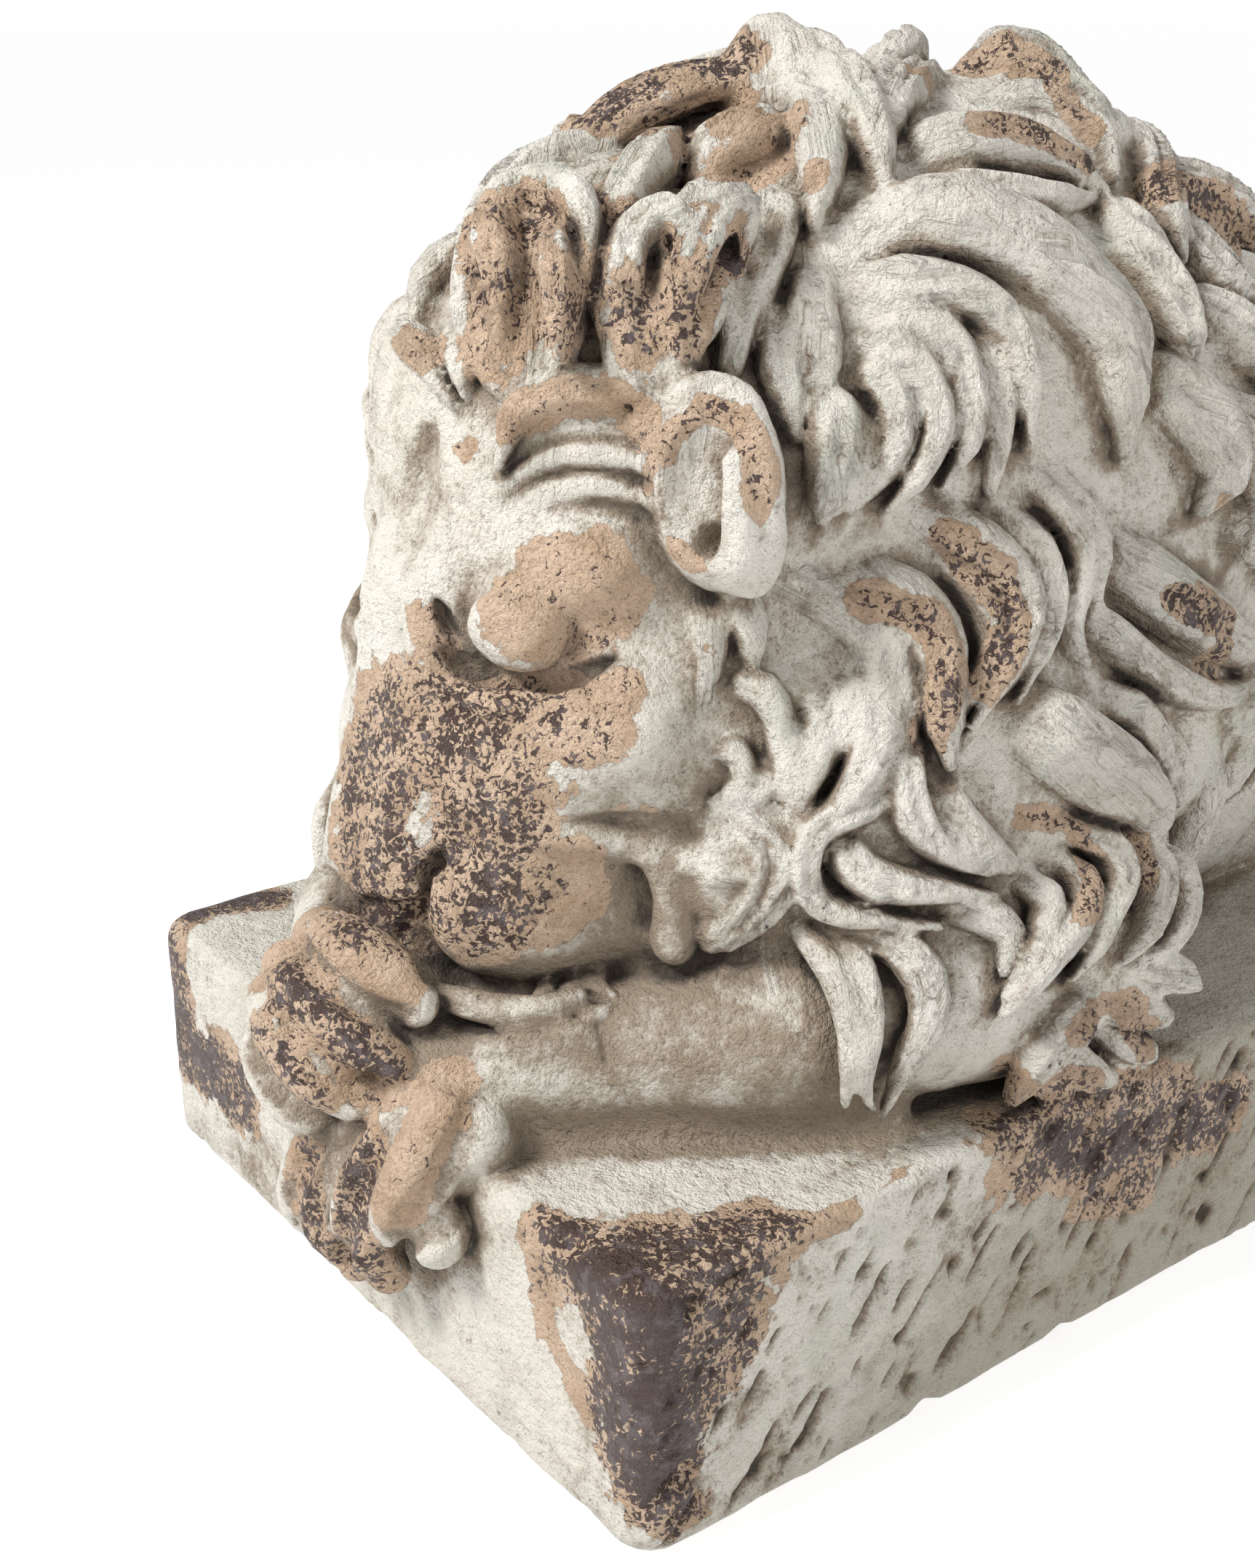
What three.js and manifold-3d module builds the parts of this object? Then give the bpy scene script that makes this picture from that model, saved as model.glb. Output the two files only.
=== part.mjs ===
// A sleeping lion on a low plinth, cast in one piece. The lion lies along the plinth with its chin on its
// crossed forepaws, and the near paw hangs over the plinth's front edge.
// Millimetres, +Z up. The lion looks along -Y, its left side is +X, and the origin is the middle of the underside.

import * as THREE from "three";
import Module from "manifold-3d";
import { mergeVertices } from "three/addons/utils/BufferGeometryUtils.js";
import { SimplifyModifier } from "three/addons/modifiers/SimplifyModifier.js";

// Driving dimensions of the casting
const PLINTH_LENGTH = 910;
const PLINTH_WIDTH = 396;
const PLINTH_HEIGHT = 120;
const PLINTH_CORNER_RADIUS = 18;
const PLINTH_WORN_EDGE = 8;
const LION_HEIGHT = 418;

// The lion is laid out on a working drawing whose unit is a share of its own height: 418 units from the
// plinth's top to the highest tuft. On it x runs to the lion's left, y back from a line 3 behind the plinth's
// front edge, and z up from a line 5 above the plinth's top.
const DRAWING_HEIGHT = 418;
const DRAWING_SETBACK = 3;
const DRAWING_RISE = 5;
const SCALE = LION_HEIGHT / DRAWING_HEIGHT;

// How fine the lion is carved: the cell of the carving grid, in drawing units, and the triangles that stay
const CARVING_CELL = 5;
const LION_TRIANGLES = 9400;
const FAR = 1000;

// Blending of two solids, each given by its signed distance
function smoothMin(a, b, blend) {
  if (blend <= 0) return Math.min(a, b);
  const h = Math.max(blend - Math.abs(a - b), 0) / blend;
  return Math.min(a, b) - (h * h * blend) / 4;
}

function combine(field, form, distance) {
  return form.cut ? -smoothMin(-field, distance, form.blend) : smoothMin(field, distance, form.blend);
}

const radians = THREE.MathUtils.degToRad;
const clamp01 = (t) => Math.min(Math.max(t, 0), 1);

// A value that passes through evenly spaced keys as t goes from 0 to 1
function keyed(t, keys) {
  const s = clamp01(t) * (keys.length - 1);
  const i = Math.min(Math.floor(s), keys.length - 2);
  const f = s - i;
  return keys[i] + (keys[i + 1] - keys[i]) * f * f * (3 - 2 * f);
}

// An egg: centre, three radii, and a turn in degrees about x, y and z
function egg(at, radii, { turn = [0, 0, 0], blend = 12, cut = false } = {}) {
  const inverse = new THREE.Matrix4().makeRotationFromEuler(new THREE.Euler(...turn.map(radians))).invert();
  const m = inverse.elements;
  const [rx, ry, rz] = radii;
  const reach = Math.max(rx, ry, rz);
  const box = new THREE.Box3().setFromCenterAndSize(
    new THREE.Vector3(...at),
    new THREE.Vector3(1, 1, 1).multiplyScalar(2 * reach),
  );
  function distance(px, py, pz) {
    const dx = px - at[0];
    const dy = py - at[1];
    const dz = pz - at[2];
    const x = (m[0] * dx + m[4] * dy + m[8] * dz) / rx;
    const y = (m[1] * dx + m[5] * dy + m[9] * dz) / ry;
    const z = (m[2] * dx + m[6] * dy + m[10] * dz) / rz;
    const near = Math.hypot(x, y, z);
    const steep = Math.hypot(x / rx, y / ry, z / rz);
    return steep < 1e-9 ? -Math.min(rx, ry, rz) : (near * (near - 1)) / steep;
  }
  return { box, distance, blend, cut };
}

// A block with rounded edges
function block(at, half, { round = 8, turn = [0, 0, 0], blend = 12, cut = false } = {}) {
  const inverse = new THREE.Matrix4().makeRotationFromEuler(new THREE.Euler(...turn.map(radians))).invert();
  const m = inverse.elements;
  const box = new THREE.Box3().setFromCenterAndSize(
    new THREE.Vector3(...at),
    new THREE.Vector3(1, 1, 1).multiplyScalar(2 * Math.hypot(...half)),
  );
  function distance(px, py, pz) {
    const dx = px - at[0];
    const dy = py - at[1];
    const dz = pz - at[2];
    const x = Math.abs(m[0] * dx + m[4] * dy + m[8] * dz) - half[0] + round;
    const y = Math.abs(m[1] * dx + m[5] * dy + m[9] * dz) - half[1] + round;
    const z = Math.abs(m[2] * dx + m[6] * dy + m[10] * dz) - half[2] + round;
    const outside = Math.hypot(Math.max(x, 0), Math.max(y, 0), Math.max(z, 0));
    return outside + Math.min(Math.max(x, y, z), 0) - round;
  }
  return { box, distance, blend, cut };
}

// A limb, fold or groove: a round section of changing radius along a smooth curve
function limb(points, radii, { blend = 12, cut = false, steps = 5 } = {}) {
  const curve = new THREE.CatmullRomCurve3(points.map((p) => new THREE.Vector3(...p)));
  const count = steps * (points.length - 1);
  const path = curve.getPoints(count);
  const radius = path.map((_, i) => keyed(i / count, radii));
  const box = new THREE.Box3().setFromPoints(path).expandByScalar(Math.max(...radii));
  function distance(x, y, z) {
    let best = FAR;
    for (let i = 0; i < count; i++) {
      const a = path[i];
      const b = path[i + 1];
      const ex = b.x - a.x;
      const ey = b.y - a.y;
      const ez = b.z - a.z;
      const along = ((x - a.x) * ex + (y - a.y) * ey + (z - a.z) * ez) / (ex * ex + ey * ey + ez * ez + 1e-9);
      const t = clamp01(along);
      const away = Math.hypot(x - a.x - t * ex, y - a.y - t * ey, z - a.z - t * ez);
      best = Math.min(best, away - radius[i] - t * (radius[i + 1] - radius[i]));
    }
    return best;
  }
  return { box, distance, blend, cut };
}

// The same form on the lion's left and right
const pair = (make) => [make(1), make(-1)];

// The whole field of some forms at one point
function fieldOf(forms, x, y, z) {
  let field = FAR;
  const reach = 60;
  for (const form of forms) {
    const { min, max } = form.box;
    const off = Math.max(min.x - x, x - max.x, min.y - y, y - max.y, min.z - z, z - max.z);
    if (off < reach) field = combine(field, form, form.distance(x, y, z));
  }
  return field;
}

// Body: chest, back, belly and rump in one low mass, and the shoulders and thighs on its sides
const body = [
  egg([0, 470, 150], [122, 190, 176], { blend: 0 }),
  egg([0, 640, 138], [116, 170, 156], { blend: 40 }),
  egg([0, 745, 132], [130, 128, 152], { blend: 30 }),
  ...pair((s) => egg([s * 84, 400, 118], [52, 80, 120], { turn: [12, 0, 0], blend: 22 })),
  ...pair((s) => egg([s * 108, 742, 98], [56, 104, 108], { turn: [-14, 0, 0], blend: 14 })),
  ...pair((s) => limb([[s * 124, 820, 34], [s * 142, 740, 26], [s * 144, 640, 22]], [34, 24, 22], { blend: 10 })),
  ...pair((s) => egg([s * 142, 604, 20], [27, 44, 24], { blend: 10 })),
];

// Tail: from the rump round to the near side, ending in a tuft beside the hind paw
const tail = [
  limb(
    [[0, 850, 120], [22, 878, 62], [90, 880, 20], [154, 846, 15], [177, 760, 13], [177, 660, 13]],
    [20, 15, 12, 11, 11, 12],
    { blend: 12 },
  ),
  limb([[177, 670, 14], [176, 620, 16], [172, 572, 12]], [12, 18, 5], { blend: 6 }),
];

// Forelegs: both cross in front of the chest, the far paw on the near wrist
const forelegs = [
  limb([[122, 282, 52], [150, 242, 42], [130, 140, 30], [80, 56, 18], [54, 8, 10]], [40, 46, 37, 28, 26], {
    blend: 18,
  }),
  limb([[-122, 282, 52], [-150, 240, 42], [-120, 130, 38], [-58, 44, 36], [-10, 10, 36]], [40, 46, 38, 34, 32], {
    blend: 14,
  }),
  limb([[82, 12, -8], [93, 46, -8], [122, 92, -7], [158, 150, -6]], [8, 10, 12, 12], { blend: 10 }),
];

// Paws: a palm, four toes and the creases between them. Each toe runs from its knuckle to its tip
const toe = (places, radii) => limb(places, radii, { blend: 3 });
const crease = (places) => limb(places, [2, 5, 5, 2], { blend: 5, cut: true });
const NEAR_TOE = [14, 16, 15, 10];
const FAR_TOE = [12, 14, 14, 10];
const nearPaw = [
  egg([48, 0, 0], [42, 24, 27], { turn: [0, 16, 0], blend: 12 }),
  toe([[22, -18, -12], [4, -24, -38], [-6, -23, -60], [0, -17, -74]], NEAR_TOE),
  toe([[42, -18, -4], [27, -24, -31], [18, -25, -56], [27, -20, -74]], NEAR_TOE),
  toe([[62, -16, 4], [50, -23, -22], [45, -25, -48], [51, -20, -66]], NEAR_TOE),
  toe([[78, -6, 12], [76, -16, -4], [70, -22, -22], [60, -22, -38]], NEAR_TOE),
  egg([80, -14, -34], [14, 13, 15], { turn: [0, 20, 0], blend: 4 }),
  egg([88, 4, 4], [11, 12, 14], { blend: 8 }),
  crease([[85, 1, 23], [92, -8, 16], [92, -17, -1], [87, -27, -16], [77, -32, -32]]),
  crease([[68, -23, 15], [64, -32, -3], [55, -39, -27], [48, -40, -47], [31, -30, -71]]),
  crease([[50, -30, 4], [38, -36, -15], [28, -40, -37], [22, -40, -57]]),
  crease([[32, -33, -8], [15, -38, -29], [3, -39, -50]]),
];
const farPaw = [
  egg([10, 2, 33], [40, 33, 37], { turn: [0, 24, 0], blend: 12 }),
  toe([[-13, -8, 58], [14, -14, 64], [34, -9, 60], [50, -2, 50]], FAR_TOE),
  toe([[-6, -26, 50], [18, -30, 50], [38, -26, 42], [52, -16, 30]], FAR_TOE),
  toe([[-10, -32, 36], [12, -38, 32], [32, -36, 24], [44, -26, 12]], FAR_TOE),
  toe([[-16, -32, 20], [0, -38, 14], [14, -36, 4], [20, -26, -8]], FAR_TOE),
  crease([[5, -27, 67], [25, -30, 63], [37, -28, 59], [45, -23, 54], [58, -9, 50]]),
  crease([[17, -43, 55], [24, -44, 44], [36, -44, 36], [45, -40, 29], [57, -22, 24]]),
  crease([[-3, -49, 23], [11, -50, 17], [22, -46, 9], [29, -39, 2]]),
];

// Head: broad brow, long flat nose, heavy whisker pads and a small chin
const skull = [
  egg([0, 150, 214], [96, 112, 100], { blend: 0 }),
  egg([0, 106, 246], [80, 58, 68], { blend: 26 }),
  ...pair((s) => egg([s * 60, 116, 150], [48, 64, 62], { blend: 24 })),
  ...pair((s) => egg([s * 56, 118, 92], [50, 62, 56], { blend: 24 })),
  block([0, 54, 142], [33, 40, 78], { round: 20, turn: [-11, 0, 0], blend: 18 }),
  ...pair((s) => egg([s * 50, 72, 214], [34, 20, 17], { turn: [0, s * -8, 0], blend: 20 })),
  ...pair((s) => egg([s * 74, 74, 158], [32, 22, 24], { blend: 20 })),
  egg([-64, 58, 162], [18, 18, 20], { blend: 12 }),
  egg([38, 62, 128], [46, 43, 54], { turn: [-8, 0, 0], blend: 16 }),
  egg([-30, 62, 126], [40, 42, 50], { turn: [-8, 0, 0], blend: 16 }),
  egg([53, 49, 198], [26, 17, 21], { turn: [0, 8, 14], blend: 5 }),
  egg([-50, 64, 192], [22, 18, 20], { turn: [0, -6, -12], blend: 6 }),
  ...pair((s) =>
    limb([[s * 20, 18, 181], [s * 32, 26, 174], [s * 50, 30, 174], [s * 68, 36, 179], [s * 92, 58, 192]], [2, 5, 6, 5, 2], {
      blend: 4,
      cut: true,
    }),
  ),
];
const muzzle = [
  ...pair((s) => egg([s * 38, 66, 82], [44, 52, 44], { turn: [-6, 0, s * 12], blend: 12 })),
  block([0, 31, 93], [34, 28, 25], { round: 15, turn: [-14, 0, 0], blend: 9 }),
  ...pair((s) => egg([s * 38, 6, 86], [7, 12, 6], { turn: [0, s * 25, 0], blend: 4, cut: true })),
  limb([[0, -8, 78], [0, 0, 62], [0, 14, 46]], [3, 5, 5], { blend: 5, cut: true }),
  egg([0, 72, 34], [90, 66, 24], { blend: 4 }),
  ...pair((s) => egg([s * 78, 116, 66], [20, 28, 30], { turn: [0, s * 14, 0], blend: 8 })),
  ...pair((s) => limb([[s * 44, 12, 46], [s * 75, 27, 47], [s * 97, 54, 57], [s * 100, 70, 64]], [5, 7, 6, 4], { blend: 2 })),
];
const ears = pair((s) => [
  egg([s * 102, 110, 246], [20, 26, 38], { turn: [0, s * -6, s * -24], blend: 6 }),
  egg([s * 119, 99, 249], [14, 16, 27], { turn: [0, s * -6, s * -24], blend: 4, cut: true }),
]).flat();

// Mane: the mass that the locks lie on, from the crown down to a ruff over the elbows
const maneMass = [
  egg([0, 255, 236], [142, 172, 148], { blend: 30 }),
  egg([0, 232, 124], [172, 146, 118], { blend: 30 }),
  egg([0, 345, 205], [152, 108, 154], { blend: 40 }),
  egg([0, 208, 84], [170, 128, 86], { blend: 24 }),
  egg([-26, 98, 262], [66, 50, 54], { blend: 20 }),
  egg([0, 126, 292], [74, 56, 42], { blend: 22 }),
];

// The stone under the lion, where it meets the plinth
const underlay = [block([0, 430, 4], [92, 380, 34], { blend: 10 }), block([0, 60, 4], [60, 60, 30], { blend: 10 })];

const base = [...skull, ...maneMass, ...body, ...tail, ...forelegs, ...muzzle, ...nearPaw, ...farPaw, ...underlay];

// A place on the mane is an angle round the lion, 0 on top and 90 on its left, and a depth back along it
const MANE_AXIS = 170;
const MANE_GIRTH = 150;

function onMane(angle, depth) {
  const across = Math.sin(radians(angle));
  const upward = Math.cos(radians(angle));
  let reach = 320;
  for (let step = 0; step < 90 && reach > 0; step++) {
    const field = fieldOf(base, across * reach, depth, MANE_AXIS + upward * reach);
    if (field < 0.5) break;
    reach -= Math.max(0.6 * Math.min(field, 40), 0.5);
  }
  return new THREE.Vector3(across * reach, depth, MANE_AXIS + upward * reach);
}

function outward({ x, y, z }) {
  const e = 5;
  return new THREE.Vector3(
    fieldOf(base, x + e, y, z) - fieldOf(base, x - e, y, z),
    fieldOf(base, x, y + e, z) - fieldOf(base, x, y - e, z),
    fieldOf(base, x, y, z + e) - fieldOf(base, x, y, z - e),
  ).normalize();
}

// A lock of hair: a flat section lying along its path on the lion, swelling from the root and tapering to the tip
function lock(path, { half, rise, blend = 3 }) {
  const count = path.length - 1;
  const normals = path.map(outward);
  const tangents = path.map((_, i) =>
    path[Math.min(i + 1, count)].clone().sub(path[Math.max(i - 1, 0)]).normalize(),
  );
  const sides = path.map((_, i) => tangents[i].clone().cross(normals[i]).normalize());
  const ups = path.map((_, i) => sides[i].clone().cross(tangents[i]).normalize());
  const halves = path.map((_, i) => half * keyed(i / count, [0.62, 1, 0.95, 0.62, 0.2]));
  const rises = path.map((_, i) => rise * keyed(i / count, [0.45, 0.9, 1, 0.9, 0.4]));
  const box = new THREE.Box3().setFromPoints(path).expandByScalar(half + 2);
  const from = new THREE.Vector3();
  const run = new THREE.Vector3();
  const mix = (list, i, t, d) =>
    d.x * (list[i].x + t * (list[i + 1].x - list[i].x)) +
    d.y * (list[i].y + t * (list[i + 1].y - list[i].y)) +
    d.z * (list[i].z + t * (list[i + 1].z - list[i].z));
  function distance(x, y, z) {
    let best = FAR;
    for (let i = 0; i < count; i++) {
      run.subVectors(path[i + 1], path[i]);
      from.set(x, y, z).sub(path[i]);
      const t = clamp01(from.dot(run) / (run.lengthSq() + 1e-9));
      from.addScaledVector(run, -t);
      const w = halves[i] + t * (halves[i + 1] - halves[i]);
      const r = rises[i] + t * (rises[i + 1] - rises[i]);
      const l = mix(sides, i, t, from) / w;
      const u = mix(ups, i, t, from) / r;
      const e = mix(tangents, i, t, from) / w;
      const near = Math.hypot(l, u, e);
      const steep = Math.hypot(l / w, u / r, e / w);
      best = Math.min(best, steep < 1e-9 ? -r : (near * (near - 1)) / steep);
    }
    return best;
  }
  return { box, distance, blend, cut: false };
}

// A lock laid on the mane from its root to its tip, bowed sideways by the given amount
function laid([rootAngle, rootDepth, tipAngle, tipDepth, bow, half, rise]) {
  const turn = (radians(tipAngle - rootAngle)) * MANE_GIRTH;
  const back = tipDepth - rootDepth;
  const length = Math.hypot(turn, back);
  const count = Math.max(4, Math.round((length + Math.abs(bow)) / 16));
  const path = Array.from({ length: count + 1 }, (_, i) => {
    const t = i / count;
    const off = bow * Math.sin(Math.PI * t);
    const angle = rootAngle + ((t * turn + (off * back) / length) / MANE_GIRTH) * THREE.MathUtils.RAD2DEG;
    const depth = rootDepth + t * back - (off * turn) / length;
    const place = onMane(angle, depth);
    return place.addScaledVector(outward(place), rise * (0.05 + 0.45 * t));
  });
  return lock(path, { half, rise });
}

// A lock that hangs clear of the mane, along a smooth curve through a few points
function hung(points, { half, rise, blend }) {
  const curve = new THREE.CatmullRomCurve3(points.map((p) => new THREE.Vector3(...p)));
  return lock(curve.getPoints(4 * (points.length - 1)), { half, rise, blend });
}

// A lock drawn through a few points and settled on to the lion beneath it
function settled(points, { half, rise, blend }) {
  const curve = new THREE.CatmullRomCurve3(points.map((p) => new THREE.Vector3(...p)));
  const path = curve.getPoints(4 * (points.length - 1)).map((place) => {
    for (let step = 0; step < 6; step++)
      place.addScaledVector(outward(place), -0.8 * fieldOf(base, place.x, place.y, place.z));
    return place.addScaledVector(outward(place), 0.35 * rise);
  });
  return lock(path, { half, rise, blend });
}

// The locks of one side, each as root angle, root depth, tip angle, tip depth, bow, half width and rise
const sideLocks = [
  // over the crown, swept back
  [12, 176, -6, 250, 10, 20, 15],
  [34, 196, 10, 214, 8, 18, 16],
  [14, 246, 4, 322, -14, 19, 14],
  [20, 214, 24, 312, -14, 19, 18],
  [24, 196, 34, 300, 12, 24, 16],
  [20, 290, 22, 356, -10, 18, 12],
  [42, 306, 44, 366, -12, 18, 11],
  // the big wave and the shell of curls behind the ear
  [28, 168, 62, 284, -28, 19, 17],
  [32, 160, 60, 232, -24, 14, 15],
  [38, 162, 66, 196, -30, 12, 13],
  [42, 166, 64, 160, -24, 10, 12],
  [40, 140, 62, 146, -15, 11, 13],
  [40, 290, 58, 330, -14, 17, 15],
  [54, 292, 76, 334, -14, 19, 15],
  // ropes and crescents down the side of the neck
  [58, 222, 92, 240, 6, 13, 15],
  [64, 168, 102, 182, -44, 14, 16],
  [70, 146, 104, 172, -24, 14, 15],
  [74, 150, 104, 152, -18, 10, 12],
  [70, 246, 106, 350, 24, 17, 16],
  [70, 304, 112, 392, 6, 19, 15],
  [88, 210, 114, 280, 10, 22, 17],
  [96, 258, 118, 316, -16, 18, 15],
  // beside the cheek
  [58, 98, 88, 114, -16, 11, 12],
  [66, 116, 94, 124, -16, 11, 12],
  [86, 100, 102, 110, -18, 9, 11],
  [99, 95, 113, 97, -14, 9, 11],
  [80, 152, 112, 128, -14, 12, 13],
  [90, 130, 110, 126, -8, 10, 12],
  [94, 162, 120, 176, 32, 13, 13],
  [102, 166, 116, 212, 18, 14, 13],
  [108, 186, 124, 184, -40, 12, 14],
  [106, 202, 121, 218, -32, 13, 15],
  [114, 268, 122, 240, -15, 14, 14],
];

// Curls at the jaw, the forelocks, and the tufts that fall over the elbow: through points, for one side
const hungLocks = (s) => [
  hung([[s * 106, 92, 116], [s * 112, 112, 108], [s * 112, 112, 84], [s * 104, 98, 76]], { half: 12, rise: 13 }),
  settled([[s * 128, 132, 92], [s * 156, 166, 74], [s * 178, 168, 52], [s * 180, 126, 18]], { half: 15, rise: 13 }),
  settled([[s * 122, 112, 80], [s * 150, 134, 62], [s * 172, 112, 22]], { half: 10, rise: 10 }),
  hung([[s * 176, 226, 66], [s * 190, 250, 36], [s * 192, 284, 2]], { half: 15, rise: 14 }),
  hung([[s * 172, 262, 66], [s * 186, 296, 36], [s * 188, 330, 4]], { half: 16, rise: 14 }),
  hung([[s * 178, 218, 44], [s * 186, 208, 18], [s * 176, 206, -4]], { half: 12, rise: 12 }),
  hung([[s * 62, 190, 366], [s * 78, 152, 350], [s * 72, 124, 330], [s * 62, 90, 292]], { half: 20, rise: 17 }),
  hung([[s * 92, 176, 334], [s * 98, 138, 320], [s * 92, 110, 304], [s * 84, 96, 290]], { half: 17, rise: 15 }),
  hung([[s * 84, 112, 300], [s * 68, 82, 290], [s * 40, 62, 272]], { half: 12, rise: 10 }),
];
const middleLocks = [
  hung([[-22, 206, 376], [-26, 138, 352], [-14, 88, 326], [-8, 72, 290]], { half: 26, rise: 19 }),
  hung([[22, 200, 374], [26, 130, 346], [30, 84, 314], [38, 70, 290]], { half: 20, rise: 17 }),
  hung([[-52, 176, 350], [-60, 122, 324], [-54, 84, 298], [-46, 66, 276]], { half: 22, rise: 16 }),
  hung([[6, 200, 374], [-6, 214, 392], [-20, 238, 408]], { half: 18, rise: 10 }),
];

// Rows of plainer locks round the back of the mane
const rows = [
  { depth: 352, length: 64, half: 18, from: 4, to: 118, count: 5 },
  { depth: 398, length: 56, half: 18, from: 4, to: 110, count: 5 },
];
const rearLocks = rows.flatMap(({ depth, length, half, from, to, count }) =>
  Array.from({ length: count }, (_, i) => {
    const angle = from + ((to - from) * i) / (count - 1);
    return [angle, depth - 6 * (i % 2), angle + 14, depth + length - 8 * (i % 2), -10, half, 14];
  }),
);

const sideways = ([rootAngle, rootDepth, tipAngle, tipDepth, bow, half, rise], s) =>
  laid([s * rootAngle, rootDepth, s * tipAngle, tipDepth, s * bow, half, rise]);
const mane = [
  ...[...rearLocks, ...sideLocks].reverse().flatMap((row) => pair((s) => sideways(row, s))),
  ...pair(hungLocks).flat(),
  ...middleLocks,
];

const lionForms = [...base, ...mane, ...ears];

// Skin: the surface where the field is zero, one vertex to each cell of the grid that it crosses
function skin(forms, cell) {
  const bounds = forms.reduce((all, form) => (form.cut ? all : all.union(form.box)), new THREE.Box3());
  bounds.expandByScalar(3 * cell);
  const size = bounds.getSize(new THREE.Vector3());
  const [nx, ny, nz] = size.toArray().map((length) => Math.ceil(length / cell) + 1);
  const node = (i, j, k) => i + nx * (j + ny * k);
  const field = new Float32Array(nx * ny * nz).fill(FAR);
  for (const form of forms) {
    const near = form.box.clone().expandByScalar(form.blend + 2 * cell);
    const low = near.min.clone().sub(bounds.min).divideScalar(cell).floor();
    const high = near.max.clone().sub(bounds.min).divideScalar(cell).ceil();
    for (let k = Math.max(low.z, 0); k <= Math.min(high.z, nz - 1); k++)
      for (let j = Math.max(low.y, 0); j <= Math.min(high.y, ny - 1); j++)
        for (let i = Math.max(low.x, 0); i <= Math.min(high.x, nx - 1); i++) {
          const n = node(i, j, k);
          const distance = form.distance(
            bounds.min.x + i * cell,
            bounds.min.y + j * cell,
            bounds.min.z + k * cell,
          );
          field[n] = combine(field[n], form, distance);
        }
  }

  // Where only the opposite corners of a cell or of its face are inside, one more is taken inside, so that the
  // skin never touches itself along an edge or at a point
  const steps = [1, nx, nx * ny];
  const reach = [0, 1, 2, 3, 4, 5, 6, 7].map((c) => (c & 1) * steps[0] + ((c >> 1) & 1) * steps[1] + (c >> 2) * steps[2]);
  for (let filled = 1; filled > 0; ) {
    filled = 0;
    const fill = (n) => {
      field[n] = -0.02 * cell;
      filled++;
    };
    for (let n = 0; n < field.length - reach[7]; n++) {
      let mask = 0;
      for (let c = 0; c < 8; c++) if (field[n + reach[c]] < 0) mask |= 1 << c;
      if (mask === 0 || mask === 255) continue;
      for (const axis of [0, 1, 2]) {
        const u = steps[axis];
        const v = steps[(axis + 1) % 3];
        const [a, b, c, d] = [field[n] < 0, field[n + u] < 0, field[n + u + v] < 0, field[n + v] < 0];
        if (a !== c || b !== d || a === b) continue;
        const [one, other] = a ? [n + u, n + v] : [n, n + u + v];
        fill(field[one] < field[other] ? one : other);
      }
      for (let c = 0; c < 4; c++) {
        const opposite = (1 << c) | (1 << (7 - c));
        if (mask === opposite) fill(n + reach[c ^ 1]);
        if (mask === 255 - opposite) fill(n + reach[c]);
      }
    }
  }

  const corners = [0, 1, 2, 3, 4, 5, 6, 7].map((c) => [c & 1, (c >> 1) & 1, (c >> 2) & 1]);
  const edges = corners.flatMap((a, i) =>
    corners.slice(i + 1).filter((b) => Math.abs(a[0] - b[0]) + Math.abs(a[1] - b[1]) + Math.abs(a[2] - b[2]) === 1)
      .map((b) => [a, b]),
  );
  const vertexOf = new Map();
  const positions = [];
  for (let k = 0; k < nz - 1; k++)
    for (let j = 0; j < ny - 1; j++)
      for (let i = 0; i < nx - 1; i++) {
        const middle = [0, 0, 0];
        let crossings = 0;
        for (const [a, b] of edges) {
          const fa = field[node(i + a[0], j + a[1], k + a[2])];
          const fb = field[node(i + b[0], j + b[1], k + b[2])];
          if (fa < 0 === fb < 0) continue;
          const t = fa / (fa - fb);
          for (const axis of [0, 1, 2]) middle[axis] += a[axis] + t * (b[axis] - a[axis]);
          crossings++;
        }
        if (!crossings) continue;
        vertexOf.set(node(i, j, k), positions.length / 3);
        const place = [i, j, k].map((index, axis) => index + middle[axis] / crossings);
        positions.push(
          bounds.min.x + cell * place[0],
          bounds.min.y + cell * place[1],
          bounds.min.z + cell * place[2],
        );
      }

  const index = [];
  for (let k = 1; k < nz - 1; k++)
    for (let j = 1; j < ny - 1; j++)
      for (let i = 1; i < nx - 1; i++) {
        const n = node(i, j, k);
        for (const axis of [0, 1, 2]) {
          const inside = field[n] < 0;
          if (inside === field[n + steps[axis]] < 0) continue;
          const u = steps[(axis + 1) % 3];
          const v = steps[(axis + 2) % 3];
          const [a, b, c, d] = [n - u - v, n - v, n, n - u].map((corner) => vertexOf.get(corner));
          index.push(...(inside ? [a, b, c, a, c, d] : [a, c, b, a, d, c]));
        }
      }
  return new THREE.BufferGeometry()
    .setAttribute("position", new THREE.Float32BufferAttribute(positions, 3))
    .setIndex(index);
}

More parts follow.
